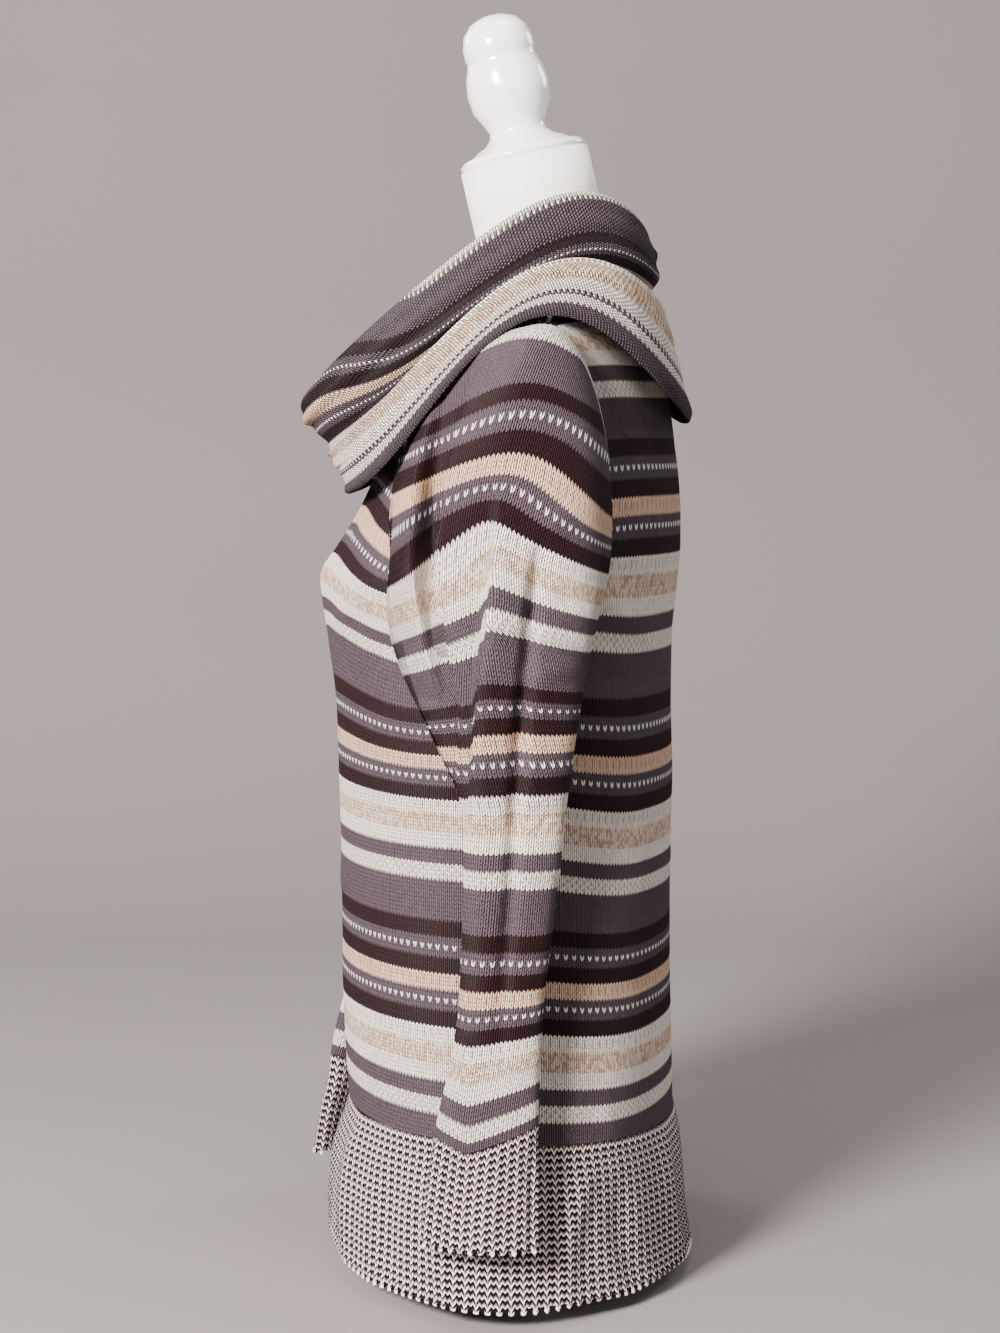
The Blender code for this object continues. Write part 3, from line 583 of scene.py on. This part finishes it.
BAND_CREASES = (
    (30, 125, 26, 4, 16, 4.5), (52, 110, 50, 2, 18, -4), (70, 120, 74, 2, 14, 5),
    (4, 100, -2, 2, 16, 3.5), (-24, 118, -30, 4, 17, -3.6), (-58, 112, -52, 2, 15, 4.5),
    (116, 105, 108, 12, 12, 4.5), (126, 90, 136, 2, 14, -3.5), (152, 112, 158, 4, 16, 4.2),
    (180, 100, 176, 2, 15, -3), (206, 110, 212, 4, 17, 4.2), (244, 105, 238, 2, 15, 4),
)
COWL_CREASES = (
    (20, 5.6, 95, 6.3, 0.45, 2.2), (60, 9.6, 150, 9.3, 0.4, 2.4), (-40, 5.4, -120, 6.1, 0.45, 2),
    (100, 5.5, 170, 6.6, 0.4, -1.8), (-80, 9.8, -160, 9.4, 0.4, 2.2),
    (30, 10.6, 88, 10.9, 0.35, -1.6), (10, 2.6, 80, 2.9, 0.4, 1.8),
    (-150, 5.6, -190, 6.2, 0.4, 1.6),
)
CUFF_CREASES = (
    (0.02, 150, 0.03, 40, 6, 3), (0.13, 150, 0.12, 50, 7, -2), (-0.12, 130, -0.14, 50, 7, -1.8),
    (-0.2, 120, -0.18, 50, 8, 1.6), (0.45, 150, 0.44, 50, 8, 1.5),
)


def creases(table, around, z, scale):
    """The sum, in metres, of a table's creases at each point. z is in the table's unit, and scale
    brings around to it. Each crease fades at both ends and bows a little."""
    total = np.zeros(np.broadcast(around, z).shape)
    for a, z_a, b, z_b, width, height in table:
        x_run, z_run = (b - a) * scale, z_b - z_a
        length = np.hypot(x_run, z_run)
        x, up = (around - a) * scale, z - z_a
        along = (x * x_run + up * z_run) / length
        beside = (x * z_run - up * x_run) / length
        bow = 0.10 * length * np.sin(np.pi * np.clip(along / length, 0, 1))
        fade_in = step_up(along, -0.15 * length, 0.35 * length)
        fade_out = 1 - step_up(along, 0.60 * length, 1.2 * length)
        total += height * (fade_in * fade_out) * np.exp(-(((beside - bow) / width) ** 2))
    return total * MM


def normals(points, closed):
    """The way out of a grid of points whose rows run down and whose columns, if closed, meet."""
    if closed:
        across = np.roll(points, -1, 1) - np.roll(points, 1, 1)
    else:
        across = np.gradient(points, axis=1)
    return unit(np.cross(np.gradient(points, axis=0), across))


def outward(points):
    """The normals of a tube, away from its middle."""
    out = normals(points, True)
    return out * np.sign((out * (points - points.mean(axis=1, keepdims=True))).sum())


def rolled(points, v, out, pitch):
    """The grid with its last row turned under, up the knit's inner face."""
    last, n = points[-1], out[-1]
    down = unit(points[-1] - points[-3])
    rows, marks = [points], [v]
    for turn in np.radians((45, 90, 135, 180)):
        under = n * WALL / 2 * (1 - np.cos(turn))
        rows.append((last - under + down * WALL / 2 * np.sin(turn))[None])
        marks.append((v[-1] + turn * WALL / 2 / pitch)[None])
    for back in (2, 4, 6):
        rows.append((points[-back] - out[-back] * WALL)[None])
        marks.append((2 * v[-1] - v[-back] + np.pi * WALL / 2 / pitch)[None])
    return np.concatenate(rows), np.concatenate(marks)


def arc(points, axis, middle):
    """The length along each line of points, measured from the index in the middle."""
    steps = np.linalg.norm(np.diff(points, axis=axis), axis=-1)
    start = np.zeros_like(np.take(steps, [0], axis))
    total = np.concatenate([start, np.cumsum(steps, axis)], axis)
    return total - np.take(total, [middle], axis)


def fine(name, points, u, v, finish, closed=False, edge_rows=0):
    """A grid of points, with its wales and rows as a UV map. If closed, u has one column more."""
    rows, columns = points.shape[:2]
    corners, faces = grid_faces(rows, columns if closed else columns - 1, columns)
    made = placed(name, points.reshape(-1, 3).tolist(), [], faces.tolist(), finish)
    if v.shape[1] == columns and closed:
        v = np.concatenate([v, v[:, :1]], 1)
    loops = np.stack([np.stack([u[i, j], v[i, j]], -1) for i, j in corners], 1)
    made.data.uv_layers.new(name="knit").data.foreach_set("uv", loops.ravel())
    if edge_rows:
        flags = np.zeros((rows, columns))
        flags[-edge_rows:] = 1
        edge = made.data.attributes.new("edge", "FLOAT", "POINT")
        edge.data.foreach_set("value", flags.ravel())
    return made


# --- Materials ---

BLACK = (0, 0, 0)
KNIT_ROUGHNESS = 0.95
KNIT_SHEEN = 0.02
FIBRES = (900, 1.0)  # scale and detail of the noise of single fibres
UNEVEN = (25, 3.0)  # and of the cloth's slow changes
LEG_LEAN = 0.75  # how many rows a stitch's legs drop from the wale's edge to its middle
SLIT_HALF_WIDTH = 0.085  # of two wales
EYELET_HALF_WIDTH = 0.13
LOOPS = ((0.52, 0.66), (0.40, 0.34))  # the long and the short one: half its width, rows it drops
THREAD_AT = 0.36  # in rows, as the next two are
THREAD_HALF_WIDTH = 0.115
BACKGROUND_FROM = 0.44


class Term:
    """A value in a material's nodes, for writing formulas."""

    def __init__(self, socket):
        self.socket = socket

    def run(self, operation, *others):
        node = self.beside("ShaderNodeMath", self, *others)
        node.operation = operation
        return Term(node.outputs[0])

    def beside(self, kind, *values):
        """Another node in this value's tree, its first inputs fed with the values."""
        return feed(self.socket.id_data.nodes.new(kind), *values)

    __add__ = partialmethod(run, "ADD")
    __sub__ = partialmethod(run, "SUBTRACT")
    __mul__ = partialmethod(run, "MULTIPLY")
    __truediv__ = partialmethod(run, "DIVIDE")
    __gt__ = partialmethod(run, "GREATER_THAN")
    __lt__ = partialmethod(run, "LESS_THAN")
    fract = partialmethod(run, "FRACT")
    floor = partialmethod(run, "FLOOR")
    abs = partialmethod(run, "ABSOLUTE")
    sin = partialmethod(run, "SINE")
    power = partialmethod(run, "POWER")
    at_least = partialmethod(run, "MAXIMUM")


def put(value, into):
    """Links a value to a socket, or sets the socket to a number or a colour."""
    if isinstance(value, Term):
        value = value.socket
    if isinstance(value, bpy.types.NodeSocket):
        into.id_data.links.new(value, into)
    else:
        into.default_value = (*value, 1) if isinstance(value, tuple) else value


def feed(node, *values):
    """The node, with a value put into each of its first inputs."""
    for slot, value in enumerate(values):
        put(value, node.inputs[slot])
    return node


def blank(name, roughness, sheen=0.0):
    """(material, its nodes, its shader) with the values that don't vary set."""
    made = bpy.data.materials.new(name)
    made.use_nodes = True
    tree = made.node_tree
    shader = tree.nodes["Principled BSDF"]
    shader.inputs["Roughness"].default_value = roughness
    shader.inputs["Sheen Weight"].default_value = sheen
    shader.inputs["Sheen Roughness"].default_value = 0.5
    if sheen:
        shader.inputs["Specular IOR Level"].default_value = 0.08
    return made, tree, shader


def ramp(at, stops):
    """A colour that steps through the stops, each (position, colour)."""
    node = at.beside("ShaderNodeValToRGB", at)
    node.color_ramp.interpolation = "CONSTANT"
    elements = node.color_ramp.elements
    for number, (position, color) in enumerate(stops):
        element = elements[number] if number < 2 else elements.new(position)
        element.position = position
        element.color = (*color, 1)
    return Term(node.outputs["Color"])


def channels(color):
    """A colour's red, green and blue, as three values."""
    return [Term(socket) for socket in color.beside("ShaderNodeSeparateColor", color).outputs]


def mix(share, first, second):
    """The first colour where share is 0, the second where it is 1."""
    node = share.beside("ShaderNodeMix", share)
    node.data_type = "RGBA"
    put(first, node.inputs[6])
    put(second, node.inputs[7])
    return Term(node.outputs[2])


def knit_uv(tree):
    """The wale and the row of each place."""
    uv = tree.nodes.new("ShaderNodeUVMap")
    uv.uv_map = "knit"
    split = feed(tree.nodes.new("ShaderNodeSeparateXYZ"), Term(uv.outputs[0]))
    return Term(split.outputs[0]), Term(split.outputs[1])


def stitch_chance(column, row):
    """A number from 0 to 1 that differs from stitch to stitch."""
    place = column.beside("ShaderNodeCombineXYZ", column, row)
    node = column.beside("ShaderNodeTexWhiteNoise", place.outputs[0])
    return Term(node.outputs["Value"])


def noise(tree, scale, detail):
    """Noise about 0.5 over the piece's own coordinates, in metres."""
    place = tree.nodes.new("ShaderNodeTexCoord").outputs["Object"]
    node = feed(tree.nodes.new("ShaderNodeTexNoise"), place, 0.0, scale, detail)
    return Term(node.outputs["Fac"])


def raise_by(shader, height, distance, strength):
    """Lets a height show as relief in the shading."""
    node = height.beside("ShaderNodeBump")
    for name, value in (("Distance", distance), ("Strength", strength), ("Height", height)):
        put(value, node.inputs[name])
    put(node.outputs[0], shader.inputs["Normal"])


def shaded(shader, shade_and_tone, color):
    """Gives the shader the colour, darker where the factor is low: the knits pass painted shade
    with random tone in it, the plain finishes random tone only.
    """
    put(mix(shade_and_tone, BLACK, color), shader.inputs["Base Color"])


def striped(name, purl):
    """The striped jersey, its face side or, for purl, its reverse."""
    made, tree, shader = blank(name, KNIT_ROUGHNESS, KNIT_SHEEN)
    u, v = knit_uv(tree)
    side = ((u.fract() - 0.5) * 2).abs()
    if purl:
        shifted = v + (u.fract() > 0.5) * 0.5
        legs = ((u * 2).fract() * np.pi).sin()
    else:
        shifted = v - (side * -1 + 1) * LEG_LEAN
        legs = (side * np.pi).sin()
    row = shifted.floor()
    in_row = (shifted.fract() * np.pi).sin()
    at = ((row + 0.5) / REPEAT).fract()
    yarns, marks, spots, start = [], [], [], 0
    for rows, yarn, *extra in REVERSE_STRIPES if purl else STRIPES:
        shown = tuple(float(word in extra) for word in ("fleck", "slits", "heather"))
        yarns.append((start / REPEAT, YARN[yarn]))
        marks.append((start / REPEAT, shown))
        spots.append((start / REPEAT, (float("dots" in extra),) * 3))
        start += rows
    color = ramp(at, yarns)
    fleck, slits, heather = channels(ramp(at, marks))
    other_wale = (u.fract() < 0.55) if purl else ((u / 2).fract() < 0.5)
    fibres = noise(tree, *FIBRES)
    color = mix(fleck * other_wale * 0.98, color, YARN["white"])
    stitch = stitch_chance((u * 2).floor(), row)
    color = mix(heather * (stitch > 0.50) * (0.35 if purl else 0.55), color, YARN["cream"])
    if purl:
        edges = [(0.0, BLACK)]
        for first in CHAIN_ROWS:
            edges += [(first / REPEAT, (1, 1, 1)), ((first + 0.9) / REPEAT, BLACK)]
        chain = channels(ramp((shifted / REPEAT).fract(), edges))[0]
        color = mix(chain * other_wale * 0.8, color, YARN["cream"])
        color = mix(chain * (other_wale * -1 + 1) * 0.85, color, YARN["black"])
        bump = legs.power(0.7) * in_row.power(0.6)
    else:
        slit = ((u / 2).fract() - 0.5).abs() < SLIT_HALF_WIDTH
        color = mix(slits * slit * 0.55, color, YARN["brown"])
        spotted = channels(ramp(at, spots))[0]
        eyelet = ((u / 2 + (row / 2).fract()).fract() - 0.5).abs() < EYELET_HALF_WIDTH
        color = mix(spotted * eyelet * 0.42, color, YARN["brown"])
        bump = legs.power(0.6) * (in_row * 0.40 + 0.60)
    # Painted shade: the colour is darkened in the gaps between the stitches' legs and between the
    # rows, where the relief lies in shade. The fibre noise, the slow noise and the stitch chance
    # vary the yarn's tone at random.
    shade_and_tone = (bump * 1.26 + 0.04) * (fibres * 0.7 + 0.68) * (noise(tree, *UNEVEN) * 0.3 + 0.88)
    shaded(shader, shade_and_tone * (stitch * 0.52 + 0.80), color)
    raise_by(shader, bump + fibres * 0.5, 0.0036 if purl else 0.0028, 1.0)
    return made


def meshed(name):
    """The band's slip-stitch knit: long and short pale loops in turn, over black and mauve."""
    made, tree, shader = blank(name, KNIT_ROUGHNESS, KNIT_SHEEN)
    u, v = knit_uv(tree)
    apart = ((u.fract() - 0.5) * 2).abs()
    (long_reach, long_drop), (short_reach, short_drop) = LOOPS
    long_loop = (apart / long_reach * -1 + 1).at_least(0.0) * long_drop
    short_loop = ((apart * -1 + 1) / short_reach * -1 + 1).at_least(0.0) * short_drop
    phase = (v - long_loop - short_loop).fract()
    across = ((phase - THREAD_AT) / ((apart < 0.5) * 0.08 + THREAD_HALF_WIDTH)).abs()
    thread = across < 1.0
    below = (phase > BACKGROUND_FROM) * (apart > 0.12)
    fibres = noise(tree, *FIBRES)
    color = mix(below, YARN["mauve"], YARN["black"])
    color = mix(thread, color, YARN["loop"])
    edge = tree.nodes.new("ShaderNodeAttribute")
    edge.attribute_name = "edge"
    border = mix(apart < 0.46, YARN["black"], YARN["loop"])
    color = mix(Term(edge.outputs["Fac"]) > 0.5, color, border)
    round_thread = (across * across * -1 + 1).at_least(0.0).power(0.5)
    bump = round_thread * 0.9 + (below * -1 + 1) * 0.25
    # Painted shade: the colour is darker away from the middle of each pale thread, towards its
    # edges and over the ground between the threads, where the relief lies in shade. The fibre
    # noise varies the tone at random.
    shaded(shader, (fibres * 0.7 + 0.68) * (round_thread * 0.25 + 0.8), color)
    raise_by(shader, bump + fibres * 0.3, 0.0018, 0.9)
    return made


def plain(name, color, roughness, grain, coat=0.0):
    """One colour with a faint unevenness."""
    made, tree, shader = blank(name, roughness)
    shaded(shader, noise(tree, grain, 3.0) * 0.10 + 0.95, color)
    shader.inputs["Coat Weight"].default_value = coat
    shader.inputs["Coat Roughness"].default_value = 0.08
    return made


# --- The pieces ---

CAP_EDGE = 0.0085  # width of the cream edge along the cap's seam
CAP_EDGE_ROWS = (-60.8, 3.6)  # its first row and how many there are


def wales_at(angle):
    """The wale at an angle round the body, counted round its section at the waist."""
    turns = np.radians(np.arange(0, 361))
    lengths = arc(body_point(turns, Z_WAIST, smooth=True), 0, 0)
    whole_turns = lengths[-1] * np.floor(angle / (2 * np.pi))
    return (np.interp(angle % (2 * np.pi), turns, lengths) + whole_turns) / WALE


def body_rows(angle, z):
    """The row at a place on the body: level in front, lower behind, drooping to the armhole."""
    folded = np.degrees(np.abs((angle + np.pi) % (2 * np.pi) - np.pi))
    to_armhole = step_up(folded, 15, 62) * (folded < 90)
    droop = 0.026 * step_up(z, 0.33, 0.50) * to_armhole
    behind = step_up(folded, 82, 140)
    return FRONT_ROWS("row", z + droop) * (1 - behind) + BACK_ROWS("row", z) * behind


def grid_angle(points, up):
    """The angle round the body of each point of a panel, kept the same above the chest."""
    half_width, front, back = body_depths(np.minimum(points[..., 2], Z_CHEST))
    depth = np.where(points[..., 1] < Y_SIDE, front, back)
    angle = np.arctan2(points[..., 0] / half_width, (Y_SIDE - points[..., 1]) / depth)
    rows_above = up[:, 0] > 1
    angle[rows_above] = angle[~rows_above][0]
    return angle if points[..., 1].mean() < 0 else angle % (2 * np.pi)


def fine_panel(face, finish):
    """The front or the back. Above the chest its rows are as far apart as the cloth is long."""
    chest = 60
    across = np.linspace(-1, 1, 241)
    up = np.concatenate([np.linspace(2, 1, chest + 1), np.linspace(1, 0, 241)[1:]])
    grid_across, grid_up = np.meshgrid(across if face == "front" else across[::-1], up)
    points = panel_point(grid_across, grid_up, face)
    angle = grid_angle(points, grid_up)
    v = body_rows(angle, np.minimum(points[..., 2], Z_CHEST))
    v = np.where(grid_up > 1, v[chest] + arc(points, 0, chest) / ROW, v)
    height = creases(BODY_CREASES, np.degrees(angle), points[..., 2] / MM, 2.6)
    points = points + normals(points, False) * (height * (grid_up <= 1))[..., None]
    return fine(f"sweater_{face}", points, wales_at(angle), v, finish)


def scallop(u):
    """How far the edge of the mesh knit stands out: each loop scallops it."""
    return SCALLOP * np.cos(2 * np.pi * (u - 0.5))


def loop_relief(from_seam, down, loops):
    """The rows of the mesh knit stand out a little, and at its edge the loops do."""
    rows = 0.0006 * np.sin(2 * np.pi * from_seam / LOOP_ROW) * (down > 0.05)
    return rows + 0.0008 * np.maximum(loops / SCALLOP, 0) * (down > 0.93)


def fine_band(face, finish):
    """Half of the hem band."""
    gap = SEAM / 2 / HEM_RADIUS
    angle = np.linspace(-np.pi / 2 + gap, np.pi / 2 - gap, 371) + (0 if face == "front" else np.pi)
    grid, down = np.meshgrid(angle, np.linspace(0, 1, 71))
    top = three_heights(grid, *BAND_SEAM) - SEAM / 2
    u = wales_at(angle) * WALE / LOOP_PAIR
    z = top + (Z_HEM + SCALLOP - scallop(u) - top) * down
    points = body_point(grid, z)
    height = creases(BAND_CREASES, np.degrees(grid), z / MM, 3.0)
    height += loop_relief(top - z, down, scallop(u))
    points = points + normals(points, False) * height[..., None]
    points, v = rolled(points, (top - z) / LOOP_ROW, normals(points, False), LOOP_ROW)
    u = np.broadcast_to(u, points.shape[:2])
    return fine(f"hem_{face}", points, u, v, finish, edge_rows=EDGE_ROWS)


def turns_round(hand, count):
    """The turns of a sleeve's columns, which run the other way on the right."""
    turn = np.linspace(-0.5, 0.5, count)
    return turn if hand == "left" else turn[::-1]


def ridge_y(z):
    """Where the main fold of the sleeve runs."""
    return np.interp(z, *np.transpose(RIDGE))


def cuff_dip(y, z):
    """The rows above the cuff, and its seam, dip where the sleeve's main fold ends."""
    return (0.40 * np.sqrt((y + 0.024) ** 2 + 0.002 ** 2) - 0.010) * (1 - step_up(z, 0.13, 0.26))


def seam_dip(turn):
    """How far the cuff's seam dips at each turn."""
    low = sleeve_section(turn, Z_CUFF_SEAM, "left")
    return cuff_dip(low[:, 1], Z_CUFF_SEAM - 0.01)


def sleeve_rows(point, from_seam):
    """The row at a place on the left sleeve. Near the shoulder the rows arch over it, lower down
    they climb to a chevron, and along the cap's seam runs a cream edge."""
    y, z = point[..., 1], point[..., 2]
    width = 0.004 + 0.048 * step_up(z, 0.54, 0.63)
    beside = y + 0.009 - 0.024 * step_up(z, 0.55, 0.63)
    front = 0.50 * step_up(z, 0.34, 0.50)
    behind = 0.58 * step_up(z, 0.38, 0.56)
    slope = np.where(beside < 0, front, behind) + 0.55 * step_up(z, 0.56, 0.66)
    rise = slope * (np.sqrt(beside ** 2 + width ** 2) - width)
    tucked = 1 - step_up(y, ridge_y(z) + 0.0005, ridge_y(z) + 0.0024)
    rise += 0.015 * tucked * step_up(z, 0.33, 0.47) * (1 - step_up(z, 0.50, 0.555))
    row = SLEEVE_ROWS("row", z + rise - cuff_dip(y, z))
    capped = (from_seam < CAP_EDGE) & (z > 0.60)
    return np.where(capped, CAP_EDGE_ROWS[0] + from_seam / CAP_EDGE * CAP_EDGE_ROWS[1], row)


def main_fold(y, z):
    """The sleeve's long pleat: a crisp ridge, and a soft dip behind it."""
    beside = y - ridge_y(z)
    behind = 0.020 + 0.013 * step_up(z, 0.18, 0.38)
    ridge = 0.0026 * np.exp(-(((beside - 0.010) / 0.0085) ** 2))
    ridge -= 0.0085 * np.exp(-(((beside - behind) / 0.0060) ** 2))
    return ridge * step_up(z, 0.16, 0.30) * (1 - step_up(z, 0.50, 0.56))


def fine_sleeve(hand, finish):
    """A sleeve. The right one has its creases and rows where the left one has them."""
    order = turns_round(hand, 221)
    down = np.concatenate([np.linspace(0, 1, 111), np.linspace(1, 2, 121)[1:]])
    grid, grid_down = np.meshgrid(order, down)
    reach = 1 - seam_dip(order) / (Z_SLEEVE_FREE - Z_CUFF_SEAM)
    grid_down = np.where(grid_down > 1, 1 + (grid_down - 1) * reach, grid_down)
    marks = sleeve_point(grid, grid_down, "left")
    points = sleeve_point(grid, grid_down, hand)
    v = sleeve_rows(marks, arc(marks, 0, 0))
    u = arc(points, 1, 110) / WALE
    points = points[:, :-1]
    y, z = marks[..., 1], marks[..., 2]
    outer = step_up(np.cos(2 * np.pi * grid), 0.0, 0.35)
    height = (creases(SLEEVE_CREASES, y / MM, z / MM, 1) + main_fold(y, z)) * outer
    height += creases(INNER_CREASES, y / MM, z / MM, 1) * (1 - outer)
    height *= step_up(grid_down, 0.02, 0.12)
    points = points + outward(points) * height[:, :-1, None]
    return fine(f"fine_sleeve_{hand}", points, u, v, finish, closed=True)


def fine_cuff(hand, finish):
    """A cuff."""
    order = turns_round(hand, 161)
    grid, down = np.meshgrid(order, np.linspace(0, 1, 51))
    top = Z_CUFF_SEAM + seam_dip(order) - CUFF_GAP
    u = arc(sleeve_section(order, Z_CUFF_END, hand), 0, 80) / LOOP_PAIR
    z = top + (Z_CUFF_END + SCALLOP - scallop(u) - top) * down
    points = hang(sleeve_section(grid, z, hand), hand)[:, :-1]
    height = creases(CUFF_CREASES, grid, z / MM, 200) + loop_relief(top - z, down, scallop(u))
    points = points + outward(points) * height[:, :-1, None]
    points, v = rolled(points, (top - z)[:, :-1] / LOOP_ROW, outward(points), LOOP_ROW)
    u = np.broadcast_to(u, (len(points), len(u)))
    return fine(f"fine_cuff_{hand}", points, u, v, finish, closed=True, edge_rows=EDGE_ROWS)


def fine_cowl(finish):
    """The cowl, with a beaded edge and wales that are even round it."""
    turn = np.linspace(-0.5, 0.5, 321)[:-1]
    grid, sections = np.meshgrid(turn, np.linspace(0, LAST_SECTION, 201))
    points = cowl_point(grid, sections)
    points[..., 2] -= 0.006 * step_up(sections, 11.2, 13) * np.sin(2 * np.pi * grid) ** 2
    share = step_up(np.cos(2 * np.pi * grid), 0.25, 0.98)
    v = COWL_ROWS("side", sections) * (1 - share) + COWL_ROWS("front", sections) * share
    bead = 0.0034 * np.exp(-(((sections - 12.55) / 0.55) ** 2))
    dent = -0.0010 * np.exp(-(((sections - 11.6) / 0.35) ** 2))
    wrinkles = creases(COWL_CREASES, grid * 360, sections, 0.0021)
    points = points + normals(points, True) * (bead + dent + wrinkles)[..., None]
    outer_ring = points[len(points) * 3 // 4]
    length = arc(np.concatenate([outer_ring, outer_ring[:1]]), 0, 0)
    points, v = rolled(points, v, normals(points, True), COWL_ROW)
    u = np.broadcast_to((length / length[-1] - 0.5) * COWL_WALES, (len(points), len(length)))
    return fine("fine_cowl", points, u, v, finish, closed=True)


# --- The camera, the light and the backdrop ---

CAMERA_PLACE = (1.95, 0.0025, 0.6045)
CAMERA_DIP = 4.9  # how far it looks down, in degrees
FOCAL_LENGTH = 2630 / 1333  # as a share of the picture's height
SENSOR_HEIGHT = 36
MIDDLE = (0, 0, 0.45)  # what the lamps face
LAMPS = (
    # name, place, size, power, and a colour where it isn't white
    ("key", (2.2, -1.45, 1.6), 0.9, 430, (1.0, 0.955, 0.925)),
    ("fill", (2.1, 1.9, 1.0), 1.6, 26),
    ("top", (0.2, 0.2, 2.6), 1.0, 28),
    ("behind_right", (-1.15, 1.7, 1.6), 0.8, 22),
    ("behind_left", (-1.15, -1.7, 1.6), 0.8, 22),
)
FLOOR_REACH = 9.0  # to the front and to both sides
BACKDROP_FOOT = -1.2  # x where the floor starts to curve up
BACKDROP_RADIUS = 0.8
BACKDROP_TOP = 3.2


def camera():
    """The camera at the photograph's viewing angle."""
    data = bpy.data.cameras.new("camera")
    data.sensor_fit = "VERTICAL"
    data.sensor_height = SENSOR_HEIGHT
    data.lens = FOCAL_LENGTH * SENSOR_HEIGHT
    turn = (np.radians(90 - CAMERA_DIP), 0, np.radians(90))
    bpy.context.scene.camera = stand("camera", data, CAMERA_PLACE, turn)


def lamp(name, place, size, power, color=(1, 1, 1)):
    """A large soft lamp that faces the middle of the sweater."""
    data = bpy.data.lights.new(name, "AREA")
    data.shape = "DISK"
    data.size = size
    data.energy = power
    data.color = color
    x, y, z = np.subtract(MIDDLE, place)
    stand(name, data, place, (np.arctan2(np.hypot(x, y), -z), 0, np.arctan2(-x, y)))


def one_sided(finish):
    """The material, clear from behind, for a camera outside the backdrop."""
    tree = finish.node_tree
    sides = tree.nodes.new("ShaderNodeMixShader")
    geometry = tree.nodes.new("ShaderNodeNewGeometry")
    clear = tree.nodes.new("ShaderNodeBsdfTransparent")
    shader = tree.nodes["Principled BSDF"]
    feed(sides, geometry.outputs["Backfacing"], shader.outputs[0], clear.outputs[0])
    put(sides.outputs[0], tree.nodes["Material Output"].inputs["Surface"])
    return finish


def studio():
    """A pale floor that curves up into a backdrop, and soft light."""
    profile = [(FLOOR_REACH, 0.0), (BACKDROP_FOOT, 0.0)]
    for turn in np.radians(np.arange(6, 91, 6)):
        x = BACKDROP_FOOT - BACKDROP_RADIUS * np.sin(turn)
        profile.append((x, BACKDROP_RADIUS - BACKDROP_RADIUS * np.cos(turn)))
    profile.append((BACKDROP_FOOT - BACKDROP_RADIUS, BACKDROP_TOP))
    points = [(x, y, z) for x, z in profile for y in (-FLOOR_REACH, FLOOR_REACH)]
    faces = [(2 * i, 2 * i + 1, 2 * i + 3, 2 * i + 2) for i in range(len(profile) - 1)]
    finish = one_sided(plain("floor", (0.185, 0.163, 0.161), 0.9, 3.0))
    placed("floor", points, [], faces, finish, (0, 0, 0))
    for row in LAMPS:
        lamp(*row)
    world = bpy.context.scene.world = bpy.data.worlds.new("soft")
    world.use_nodes = True
    feed(world.node_tree.nodes["Background"], (1, 0.97, 0.95), 0.17)


def main():
    """Builds each piece, parents it to the root and hides its CAD part. Its slot and, for the
    cloth, the flat size of its cut are listed but not used.
    """
    face_knit = striped("striped_knit_face", False)
    purl_knit = striped("striped_knit_reverse", True)
    band_knit = meshed("mesh_knit_loops")
    cover = plain("form_cover_jersey", (0.80, 0.76, 0.70), 0.75, 30)
    gloss = plain("gloss_paint", (0.84, 0.82, 0.79), 0.22, 12, coat=0.6)
    pieces = {}
    for face in ("front", "back"):
        pieces[f"body_{face}"] = (fine_panel(face, face_knit), "striped_knit", (0.52, 0.58))
        pieces[f"hem_band_{face}"] = (fine_band(face, band_knit), "mesh_knit", (0.54, 0.135))
    for hand in ("left", "right"):
        pieces[f"sleeve_{hand}"] = (fine_sleeve(hand, face_knit), "striped_knit", (0.30, 0.56))
        pieces[f"cuff_{hand}"] = (fine_cuff(hand, band_knit), "mesh_knit", (0.225, 0.095))
    pieces["cowl"] = (fine_cowl(purl_knit), "cowl_knit", (0.72, 0.24))
    pieces["form_torso"] = (fine_form(cover), "form_cover", None)
    pieces["finial"] = (finial(gloss), "painted_wood", None)
    for node, (piece, slot, flat) in pieces.items():
        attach(piece, "root")
        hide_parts(node)
    camera()
    studio()


main()
